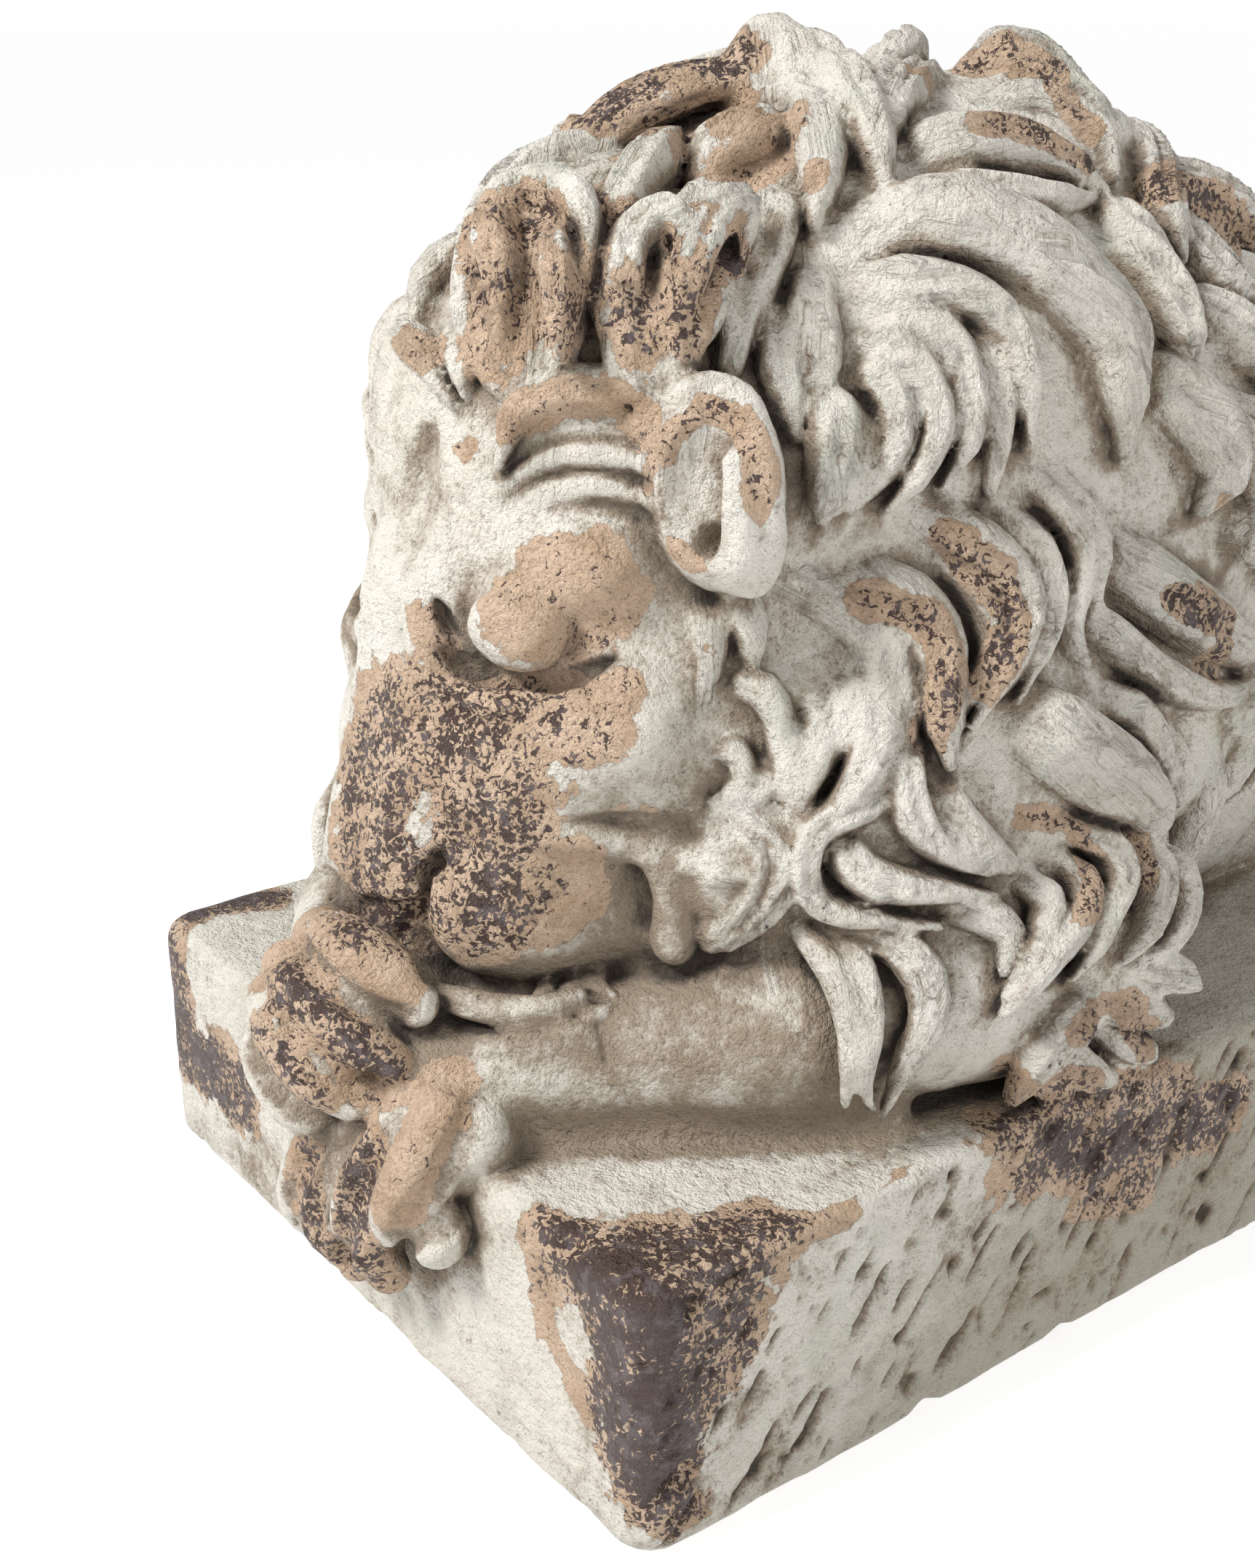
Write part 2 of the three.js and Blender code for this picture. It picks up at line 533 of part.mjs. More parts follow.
// Plinth: a slab with rounded corners and worn edges
function plinthGeometry() {
  const edge = PLINTH_WORN_EDGE;
  const halfWidth = PLINTH_WIDTH / 2 - edge;
  const halfLength = PLINTH_LENGTH / 2 - edge;
  const radius = Math.max(PLINTH_CORNER_RADIUS - edge, 1);
  const outline = new THREE.Shape();
  outline.moveTo(-halfWidth + radius, -halfLength);
  outline.lineTo(halfWidth - radius, -halfLength);
  outline.absarc(halfWidth - radius, -halfLength + radius, radius, -Math.PI / 2, 0);
  outline.lineTo(halfWidth, halfLength - radius);
  outline.absarc(halfWidth - radius, halfLength - radius, radius, 0, Math.PI / 2);
  outline.lineTo(-halfWidth + radius, halfLength);
  outline.absarc(-halfWidth + radius, halfLength - radius, radius, Math.PI / 2, Math.PI);
  outline.lineTo(-halfWidth, -halfLength + radius);
  outline.absarc(-halfWidth + radius, -halfLength + radius, radius, Math.PI, 1.5 * Math.PI);
  const slab = new THREE.ExtrudeGeometry(outline, {
    depth: PLINTH_HEIGHT - 2 * edge,
    bevelEnabled: true,
    bevelThickness: edge,
    bevelSize: edge,
    bevelSegments: 2,
    curveSegments: 3,
  });
  return slab.translate(0, 0, edge);
}

const wasm = await Module();
wasm.setup();

// A geometry as a solid that can be joined, and back again
function solidOf(geometry) {
  const bare = geometry.clone();
  bare.deleteAttribute("normal");
  bare.deleteAttribute("uv");
  const merged = mergeVertices(bare, 1e-4);
  return new wasm.Manifold(
    new wasm.Mesh({
      numProp: 3,
      vertProperties: merged.attributes.position.array,
      triVerts: new Uint32Array(merged.index.array),
    }),
  );
}

function geometryOf(solid) {
  const mesh = solid.getMesh();
  const geometry = new THREE.BufferGeometry()
    .setAttribute("position", new THREE.BufferAttribute(new Float32Array(mesh.vertProperties), 3))
    .setIndex(new THREE.BufferAttribute(new Uint32Array(mesh.triVerts), 1));
  geometry.computeVertexNormals();
  return geometry;
}

const carved = skin(lionForms, CARVING_CELL);
const spareVertices = carved.attributes.position.count - LION_TRIANGLES / 2;
const lion = await new SimplifyModifier().modify(carved, spareVertices);
lion.translate(0, DRAWING_SETBACK, DRAWING_RISE).scale(SCALE, SCALE, SCALE);
lion.translate(0, -PLINTH_LENGTH / 2, PLINTH_HEIGHT);

// The casting is solid: only its outer skin is kept, with no pocket sealed inside
const largest = (solid) => solid.decompose().reduce((most, one) => (one.volume() > most.volume() ? one : most));
const joined = largest(solidOf(plinthGeometry()).add(solidOf(lion)));
const outer = largest(solidOf(geometryOf(joined)));

const castStone = new THREE.MeshStandardMaterial({ color: 0xd8d0c2, roughness: 0.85, metalness: 0 });
const statue = new THREE.Mesh(geometryOf(outer), castStone);
statue.name = "sleeping_lion";

const group = new THREE.Group();
group.add(statue);
export default group;
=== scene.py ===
"""A sleeping lion on a low plinth, cast in stone and painted off-white, the paint flaking off tan and dark brown.

The casting is carved from the same forms as the solid model, at a finer grain: the mane's strands, the lids,
wrinkles, toes and worn edges. Lengths are in millimetres on the lion's working drawing, where x runs to the
lion's left, y back from a line 3 behind the plinth's front edge and z up from a line 5 above the plinth's top.
Places on the lion are read off that drawing, and rounded to whole millimetres.
"""

import math

import bpy
import numpy as np
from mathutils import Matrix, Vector


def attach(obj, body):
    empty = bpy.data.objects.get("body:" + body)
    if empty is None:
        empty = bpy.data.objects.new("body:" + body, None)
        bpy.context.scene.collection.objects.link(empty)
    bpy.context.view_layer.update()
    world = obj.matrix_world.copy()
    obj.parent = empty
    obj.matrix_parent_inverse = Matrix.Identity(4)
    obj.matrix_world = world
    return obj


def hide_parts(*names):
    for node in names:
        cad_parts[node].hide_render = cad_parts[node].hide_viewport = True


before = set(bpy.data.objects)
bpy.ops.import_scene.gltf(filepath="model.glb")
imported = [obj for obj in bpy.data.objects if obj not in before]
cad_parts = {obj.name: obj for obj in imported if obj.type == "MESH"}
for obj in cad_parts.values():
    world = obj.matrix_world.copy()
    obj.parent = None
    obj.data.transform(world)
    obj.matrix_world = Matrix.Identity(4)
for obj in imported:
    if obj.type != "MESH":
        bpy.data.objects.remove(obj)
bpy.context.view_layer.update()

# Sizes of the casting
PLINTH_LENGTH = 910.0
PLINTH_WIDTH = 396.0
PLINTH_HEIGHT = 120.0
PLINTH_CORNER_RADIUS = 18.0
DRAWING_SETBACK = 3.0
DRAWING_RISE = 5.0

PLINTH_EDGE_RADIUS = 9.0
CHIP_SEED = 7
CHIPS = {"top": 26, "bottom": 30, "corner": 12}
GOUGE_DEPTH, GOUGE_LENGTH, GOUGE_SLANT = 3.0, 17.0, 52.0
PIT_DEPTH = 2.2

# The carving's grid, the finished mesh and the photograph's camera
CELL = 2.1
FACES = 190_000
FAR = 1000.0
PIECE = "sleeping_lion_cast"
AZIMUTH, ELEVATION = math.radians(52.818), math.radians(21.558)
FOCAL_PIXELS, PICTURE_HEIGHT, SENSOR = 2700, 2156, 36
CAMERA_PLACE = [645.587, -348.925, 412.65]


# Forms, each a box and a signed distance


def rotation(turn):
    """The matrix of turns in degrees about x, y and z."""
    (cx, cy, cz), (sx, sy, sz) = np.cos(np.radians(turn)), np.sin(np.radians(turn))
    about_x = np.array([[1, 0, 0], [0, cx, -sx], [0, sx, cx]])
    about_y = np.array([[cy, 0, sy], [0, 1, 0], [-sy, 0, cy]])
    about_z = np.array([[cz, -sz, 0], [sz, cz, 0], [0, 0, 1]])
    return about_x @ about_y @ about_z


def keyed(t, keys):
    """A value that passes through evenly spaced keys as t goes from 0 to 1."""
    s = np.clip(t, 0, 1) * (len(keys) - 1)
    i = np.minimum(s.astype(int), len(keys) - 2)
    f = s - i
    keys = np.asarray(keys, float)
    return keys[i] + (keys[i + 1] - keys[i]) * f * f * (3 - 2 * f)


def spline(points, count):
    """count + 1 places along a centripetal Catmull-Rom curve through the points."""
    p = np.asarray(points, float)
    p = np.vstack([2 * p[0] - p[1], p, 2 * p[-1] - p[-2]])
    out = []
    for s in np.linspace(0, len(points) - 1, count + 1):
        i = min(int(s), len(points) - 2)
        f = s - i
        a, b, c, d = p[i : i + 4]
        u, v, w = (max(np.linalg.norm(k) ** 0.5, 1e-3) for k in (b - a, c - b, d - c))
        start = ((b - a) / u - (c - a) / (u + v) + (c - b) / v) * v
        end = ((c - b) / v - (d - b) / (v + w) + (d - c) / w) * v
        out.append(
            b + start * f + (3 * (c - b) - 2 * start - end) * f**2 + (2 * (b - c) + start + end) * f**3
        )
    return np.array(out)


class Form:
    def __init__(self, low, high, distance, blend, cut):
        self.low, self.high, self.distance = np.asarray(low, float), np.asarray(high, float), distance
        self.blend, self.cut = blend, cut


def local(at, turn):
    r = rotation(turn).astype(np.float32)
    at = [np.float32(a) for a in at]

    def convert(x, y, z):
        dx, dy, dz = x - at[0], y - at[1], z - at[2]
        return [r[0, k] * dx + r[1, k] * dy + r[2, k] * dz for k in range(3)]

    return convert


def egg(at, radii, turn=(0, 0, 0), blend=12, cut=False):
    convert = local(at, turn)
    rx, ry, rz = (np.float32(r) for r in radii)
    reach = max(radii)

    def distance(x, y, z):
        u, v, w = convert(x, y, z)
        u, v, w = u / rx, v / ry, w / rz
        near = np.sqrt(u * u + v * v + w * w)
        steep = np.sqrt((u / rx) ** 2 + (v / ry) ** 2 + (w / rz) ** 2)
        return near * (near - 1) / np.maximum(steep, np.float32(1e-6))

    return Form(np.subtract(at, reach), np.add(at, reach), distance, blend, cut)


def block(at, half, edge=8, turn=(0, 0, 0), blend=12, cut=False):
    convert = local(at, turn)
    reach = math.hypot(*half)

    def distance(x, y, z):
        u, v, w = (np.abs(c) - np.float32(h - edge) for c, h in zip(convert(x, y, z), half))
        outside = np.sqrt(np.maximum(u, 0) ** 2 + np.maximum(v, 0) ** 2 + np.maximum(w, 0) ** 2)
        return outside + np.minimum(np.maximum(np.maximum(u, v), w), 0) - np.float32(edge)

    return Form(np.subtract(at, reach), np.add(at, reach), distance, blend, cut)


def limb(points, radii, blend=12, cut=False, steps=5):
    count = steps * (len(points) - 1)
    path = spline(points, count).astype(np.float32)
    radius = keyed(np.linspace(0, 1, count + 1), radii).astype(np.float32)

    def distance(x, y, z):
        best = np.float32(FAR)
        for a, b, ra, rb in zip(path[:-1], path[1:], radius[:-1], radius[1:]):
            e = b - a
            dx, dy, dz = x - a[0], y - a[1], z - a[2]
            t = np.clip((dx * e[0] + dy * e[1] + dz * e[2]) / (e @ e + np.float32(1e-9)), 0, 1)
            away = np.sqrt((dx - t * e[0]) ** 2 + (dy - t * e[1]) ** 2 + (dz - t * e[2]) ** 2)
            best = np.minimum(best, away - ra - t * (rb - ra))
        return best

    r = max(radii)
    return Form(path.min(0) - r, path.max(0) + r, distance, blend, cut)


def pair(make):
    return [make(1), make(-1)]


def mirrored(points, s):
    return [[s * x, y, z] for x, y, z in points]


# The grid that the casting is carved in

LOW = np.array([-222.0, -62.0, -136.0])
HIGH = np.array([222.0, 914.0, 430.0])
SHAPE = np.ceil((HIGH - LOW) / CELL).astype(int) + 1
AXES = [(LOW[k] + CELL * np.arange(SHAPE[k])).astype(np.float32) for k in range(3)]


def smooth_min(a, b, blend):
    if blend <= 0:
        return np.minimum(a, b)
    h = np.maximum(np.float32(blend) - np.abs(a - b), 0)
    return np.minimum(a, b) - h * h * np.float32(0.25 / blend)


def carve(field, forms, margin=16.0):
    """Adds or cuts each form in turn, within its own box and a margin round it."""
    for form in forms:
        low = np.maximum(((form.low - margin - form.blend - LOW) / CELL).astype(int), 0)
        high = np.minimum(((form.high + margin + form.blend - LOW) / CELL).astype(int) + 2, SHAPE)
        part = tuple(slice(a, b) for a, b in zip(low, high))
        x, y, z = (AXES[k][low[k] : high[k]] for k in range(3))
        d = form.distance(x[:, None, None], y[None, :, None], z[None, None, :])
        if form.cut:
            field[part] = -smooth_min(-field[part], d, form.blend)
        else:
            field[part] = smooth_min(field[part], d, form.blend)


def sample(field, p):
    """The field at places, one row each, between the grid's nodes."""
    s = np.clip((p - LOW) / CELL, 0, SHAPE - 1.001)
    i = s.astype(int)
    f = (s - i).astype(np.float32)
    value = 0
    for dx in (0, 1):
        for dy in (0, 1):
            for dz in (0, 1):
                w = (
                    (f[:, 0] if dx else 1 - f[:, 0])
                    * (f[:, 1] if dy else 1 - f[:, 1])
                    * (f[:, 2] if dz else 1 - f[:, 2])
                )
                value = value + w * field[i[:, 0] + dx, i[:, 1] + dy, i[:, 2] + dz]
    return value


def outward(field, p, e=5.0):
    slope = np.stack(
        [sample(field, p + e * np.eye(3)[k]) - sample(field, p - e * np.eye(3)[k]) for k in range(3)], 1
    )
    return slope / np.maximum(np.linalg.norm(slope, axis=1), 1e-6)[:, None]


# The lion's forms

body = [
    egg([0, 470, 150], [122, 190, 176], blend=0),
    egg([0, 640, 138], [116, 170, 156], blend=40),
    egg([0, 745, 132], [130, 128, 152], blend=30),
    *pair(lambda s: egg([s * 84, 400, 118], [52, 80, 120], turn=(12, 0, 0), blend=22)),
    *pair(lambda s: egg([s * 108, 742, 98], [56, 104, 108], turn=(-14, 0, 0), blend=14)),
    *pair(lambda s: limb([[s * 124, 820, 34], [s * 142, 740, 26], [s * 144, 640, 22]], [34, 24, 22], blend=10)),
    *pair(lambda s: egg([s * 142, 604, 20], [27, 44, 24], blend=10)),
]
tail = [
    limb(
        [[0, 850, 120], [22, 878, 62], [90, 880, 20], [154, 846, 15], [177, 760, 13], [177, 660, 13]],
        [20, 15, 12, 11, 11, 12],
        blend=12,
    ),
    limb([[177, 670, 14], [176, 620, 16], [172, 572, 12]], [12, 18, 5], blend=6),
]
forelegs = [
    limb(
        [[122, 282, 52], [150, 242, 42], [130, 140, 30], [80, 56, 18], [54, 8, 10]], [40, 46, 37, 28, 26], blend=18
    ),
    limb(
        [[-122, 282, 52], [-150, 240, 42], [-120, 130, 38], [-58, 44, 36], [-10, 10, 36]],
        [40, 46, 38, 34, 32],
        blend=14,
    ),
    limb([[82, 12, -8], [93, 46, -8], [122, 92, -7], [158, 150, -6]], [8, 10, 12, 12], blend=10),
]
near_paw = [
    egg([48, 0, 0], [42, 24, 27], turn=(0, 16, 0), blend=12),
    *(
        limb(points, [14, 16, 15, 10], blend=3)
        for points in (
            [[22, -18, -12], [4, -24, -38], [-6, -23, -60], [0, -17, -74]],
            [[42, -18, -4], [27, -24, -31], [18, -25, -56], [27, -20, -74]],
            [[62, -16, 4], [50, -23, -22], [45, -25, -48], [51, -20, -66]],
            [[78, -6, 12], [76, -16, -4], [70, -22, -22], [60, -22, -38]],
        )
    ),
    egg([80, -14, -34], [14, 13, 15], turn=(0, 20, 0), blend=4),
    egg([88, 4, 4], [11, 12, 14], blend=8),
]
far_paw = [
    egg([10, 2, 33], [40, 33, 37], turn=(0, 24, 0), blend=12),
    *(
        limb(points, [12, 14, 14, 10], blend=3)
        for points in (
            [[-13, -8, 58], [14, -14, 64], [34, -9, 60], [50, -2, 50]],
            [[-6, -26, 50], [18, -30, 50], [38, -26, 42], [52, -16, 30]],
            [[-10, -32, 36], [12, -38, 32], [32, -36, 24], [44, -26, 12]],
            [[-16, -32, 20], [0, -38, 14], [14, -36, 4], [20, -26, -8]],
        )
    ),
]
skull = [
    egg([0, 150, 214], [96, 112, 100], blend=0),
    egg([0, 106, 246], [80, 58, 68], blend=26),
    *pair(lambda s: egg([s * 60, 116, 150], [48, 64, 62], blend=24)),
    *pair(lambda s: egg([s * 56, 118, 92], [50, 62, 56], blend=24)),
    block([0, 54, 142], [33, 40, 78], edge=20, turn=(-11, 0, 0), blend=18),
    *pair(lambda s: egg([s * 50, 72, 214], [34, 20, 17], turn=(0, s * -8, 0), blend=20)),
    *pair(lambda s: egg([s * 74, 74, 158], [32, 22, 24], blend=20)),
    egg([-64, 58, 162], [18, 18, 20], blend=12),
    *pair(lambda s: egg([s * 110, 108, 103], [16, 20, 24], turn=(-10, 0, 0), blend=8)),
    egg([38, 62, 128], [46, 43, 54], turn=(-8, 0, 0), blend=16),
    egg([-30, 62, 126], [40, 42, 50], turn=(-8, 0, 0), blend=16),
]
muzzle = [
    *pair(lambda s: egg([s * 38, 66, 82], [44, 52, 44], turn=(-6, 0, s * 12), blend=12)),
    block([0, 31, 93], [34, 28, 25], edge=15, turn=(-14, 0, 0), blend=9),
    egg([0, 72, 34], [90, 66, 24], blend=4),
    *pair(lambda s: egg([s * 78, 116, 66], [20, 28, 30], turn=(0, s * 14, 0), blend=8)),
]


def settle(path, steps=8):
    """Moves places on to the skin as it is so far."""
    for _ in range(steps):
        path = path - outward(field, path, 3.0) * (0.8 * np.clip(sample(field, path), -8, 8))[:, None]
    return path


def skin_limb(points, radii, sink, blend, cut):
    path = settle(spline(points, 5 * (len(points) - 1)))
    path = path - outward(field, path, 3.0) * sink
    return limb(path, keyed(np.linspace(0, 1, len(path)), radii), blend=blend, cut=cut, steps=1)


def crease(points, radii, blend=3, sink=0.0, sides=(1, -1)):
    return [skin_limb(mirrored(points, s), radii, sink, blend, True) for s in sides]


def fold(points, radii, blend=4, sink=1.0, sides=(1, -1)):
    return [skin_limb(mirrored(points, s), radii, sink, blend, False) for s in sides]


def dimple(place, radii, turn=(0, 0, 0), blend=4, sink=0.0):
    out = []
    for s in (1, -1):
        at = settle(np.array([[s * place[0], place[1], place[2]]], float))
        at = at - outward(field, at, 3.0) * sink
        out.append(egg(at[0], radii, (turn[0], s * turn[1], s * turn[2]), blend, True))
    return out


def groove(points, radii):
    return skin_limb(points, radii, 0.0, 5, True)


def ridge(points, radii, blend, sink=1.0):
    return skin_limb(points, radii, sink, blend, False)


ears = [
    form
    for s in (1, -1)
    for form in (
        egg([s * 100, 107, 249], [22, 25, 39], turn=(0, s * -6, s * -24), blend=6),
        egg([s * 112, 86, 253], [17, 19, 30], turn=(0, s * -8, s * -24), blend=3, cut=True),
        limb(
            [[s * x, y, z] for x, y, z in (
                (87, 89, 238), (82, 89, 258), (84, 94, 275), (97, 100, 286), (111, 107, 283), (120, 110, 267),
                (123, 112, 247), (124, 113, 230), (119, 109, 216), (110, 101, 219),
            )],
            [4, 6, 6, 5, 5],
            blend=3,
        ),
        limb([[s * 116, 100, 262], [s * 118, 103, 240], [s * 117, 104, 226]], [4, 7, 9], blend=6),
        limb([[s * 93, 99, 274], [s * 100, 103, 258], [s * 105, 104, 240]], [3, 4, 2.5], blend=4),
        limb([[s * 101, 104, 276], [s * 108, 107, 262], [s * 111, 107, 246]], [2.5, 3.5, 2], blend=4),
        egg([s * 108, 98, 232], [5, 8, 6], blend=3, cut=True),
    )
]
mane_mass = [
    egg([0, 255, 236], [142, 172, 148], blend=30),
    egg([0, 232, 124], [172, 146, 118], blend=30),
    egg([0, 345, 205], [152, 108, 154], blend=40),
    egg([0, 208, 84], [170, 128, 86], blend=24),
    egg([-26, 98, 262], [66, 50, 54], blend=20),
    egg([0, 126, 292], [74, 56, 42], blend=22),
    egg([24, 318, 352], [56, 58, 34], blend=24),
    *pair(lambda s: egg([s * 134, 312, 120], [36, 60, 50], blend=20)),
]
# what fills in under the body, so that it stands on the plinth all along
underlay = [block([0, 430, 4], [92, 380, 34], blend=10), block([0, 60, 4], [60, 60, 30], blend=10)]

field = np.full(SHAPE, FAR, np.float32)
carve(field, [*skull, *mane_mass, *body, *tail, *forelegs, *muzzle, *near_paw, *far_paw, *underlay])
base = field.copy()

# The mane. A place on it is an angle round the lion, 0 on top and 90 on its left, and a depth back along it

MANE_AXIS = 170.0
MANE_GIRTH = 150.0
LIFT, ROOT_SINK = 0.3, 0.6
GROOVES = {1: 0.0, 2: 0.26, 3: 0.36}


def on_mane(angles, depths):
    across, upward = np.sin(np.radians(angles)), np.cos(np.radians(angles))
    reach = np.full(len(angles), 320.0)

    def places():
        return np.stack([across * reach, depths, MANE_AXIS + upward * reach], 1)

    for _ in range(110):
        here = sample(base, places())
        reach -= np.where(here < 0.5, 0, np.clip(0.6 * here, 0.5, 6))
    return places()


class Lock(Form):
    """A lock of hair: a flat grooved section lying along its path, leaning to one side, that tapers to the tip."""

    def __init__(self, path, half, rise, lean=0.0, strands=3, blend=3):
        count = len(path) - 1
        t = np.linspace(0, 1, count + 1)
        tangents = path[np.minimum(np.arange(count + 1) + 1, count)] - path[np.maximum(np.arange(count + 1) - 1, 0)]
        tangents /= np.linalg.norm(tangents, axis=1)[:, None]
        sides = np.cross(tangents, outward(base, path))
        sides /= np.linalg.norm(sides, axis=1)[:, None]
        ups = np.cross(sides, tangents)
        cos, sin = math.cos(math.radians(lean)), math.sin(math.radians(lean))
        sides, ups = cos * sides - sin * ups, cos * ups + sin * sides
        self.path, self.tangents, self.sides, self.ups = (
            a.astype(np.float32) for a in (path, tangents, sides, ups)
        )
        self.halves = (half * keyed(t, [0.6, 1, 1, 0.72, 0.22])).astype(np.float32)
        self.rises = (rise * keyed(t, [0.35, 0.9, 1, 0.9, 0.4])).astype(np.float32)
        self.strands = strands
        super().__init__(path.min(0) - half - 2, path.max(0) + half + 2, self.measure, blend, False)

    def measure(self, x, y, z):
        best = np.float32(FAR)
        for i in range(len(self.path) - 1):
            a, e = self.path[i], self.path[i + 1] - self.path[i]
            dx, dy, dz = x - a[0], y - a[1], z - a[2]
            t = np.clip((dx * e[0] + dy * e[1] + dz * e[2]) / (e @ e + np.float32(1e-9)), 0, 1)
            dx, dy, dz = dx - t * e[0], dy - t * e[1], dz - t * e[2]
            w = self.halves[i] + t * (self.halves[i + 1] - self.halves[i])
            r = self.rises[i] + t * (self.rises[i + 1] - self.rises[i])

            def toward(axes):
                m = [axes[i][k] + t * (axes[i + 1][k] - axes[i][k]) for k in range(3)]
                return dx * m[0] + dy * m[1] + dz * m[2]

            l = toward(self.sides) / w
            groove = 0.5 + 0.5 * np.cos(np.float32(math.pi * self.strands) * (l + 1))
            groove = groove * np.clip(2.5 * (1 - (i + t) / (len(self.path) - 1)), 0, 1)
            r = r * (1 - np.float32(GROOVES[min(self.strands, 3)]) * groove)
            l = l * np.abs(l) ** np.float32(0.35)
            u = toward(self.ups) / r
            q = toward(self.tangents) / w
            near = np.sqrt(l * l + u * u + q * q)
            steep = np.sqrt((l / w) ** 2 + (u / r) ** 2 + (q / w) ** 2)
            best = np.minimum(best, near * (near - 1) / np.maximum(steep, np.float32(1e-5)))
        return best

    def grain(self, p):
        """Distance to the lock's middle line in shares of its section, and the places across and along it in mm."""
        near = np.full(len(p), FAR)
        across, along, start = np.zeros(len(p)), np.zeros(len(p)), 0.0
        for i in range(len(self.path) - 1):
            a, e = self.path[i], self.path[i + 1] - self.path[i]
            d = p - a
            t = np.clip(d @ e / (e @ e + 1e-9), 0, 1)
            d = d - t[:, None] * e
            w = self.halves[i] + t * (self.halves[i + 1] - self.halves[i])
            r = self.rises[i] + t * (self.rises[i + 1] - self.rises[i])
            l, u = d @ self.sides[i], d @ self.ups[i]
            off = np.sqrt((l / w) ** 2 + (u / r) ** 2)
            closer = off < near
            near = np.where(closer, off, near)
            across = np.where(closer, l, across)
            along = np.where(closer, start + t * np.linalg.norm(e), along)
            start += float(np.linalg.norm(e))
        return near, across, along


def laid(row, s=1):
    root_angle, root_depth, tip_angle, tip_depth, bow, half, rise = row
    turn = math.radians(tip_angle - root_angle) * MANE_GIRTH
    back = tip_depth - root_depth
    length = math.hypot(turn, back)
    count = max(4, round((length + abs(bow)) / 13))
    t = np.linspace(0, 1, count + 1)
    off = bow * np.sin(math.pi * t)
    angles = root_angle + np.degrees((t * turn + off * back / length) / MANE_GIRTH)
    depths = root_depth + t * back - off * turn / length
    places = on_mane(s * angles, depths)
    places = places + outward(base, places) * (rise * (0.05 + 0.45 * t))[:, None]
    return Lock(places, half, rise)


def drawn(row, s=1):
    """A lock drawn through places on the lion: its root sinks into the mane and its middle lifts off it."""
    half, rise, lean, strands, places = row
    length = sum(math.dist(a, b) for a, b in zip(places[:-1], places[1:]))
    path = spline(places, max(2 * (len(places) - 1), round(length / 9))) * [s, 1, 1]
    t = np.linspace(0, 1, len(path))
    height = rise * (0.1 + LIFT * np.sin(math.pi * 0.62 * t) - ROOT_SINK * np.clip(1 - 4 * t, 0, 1))
    path = path + outward(base, path) * height[:, None]
    return Lock(path, half, rise, s * lean, strands)


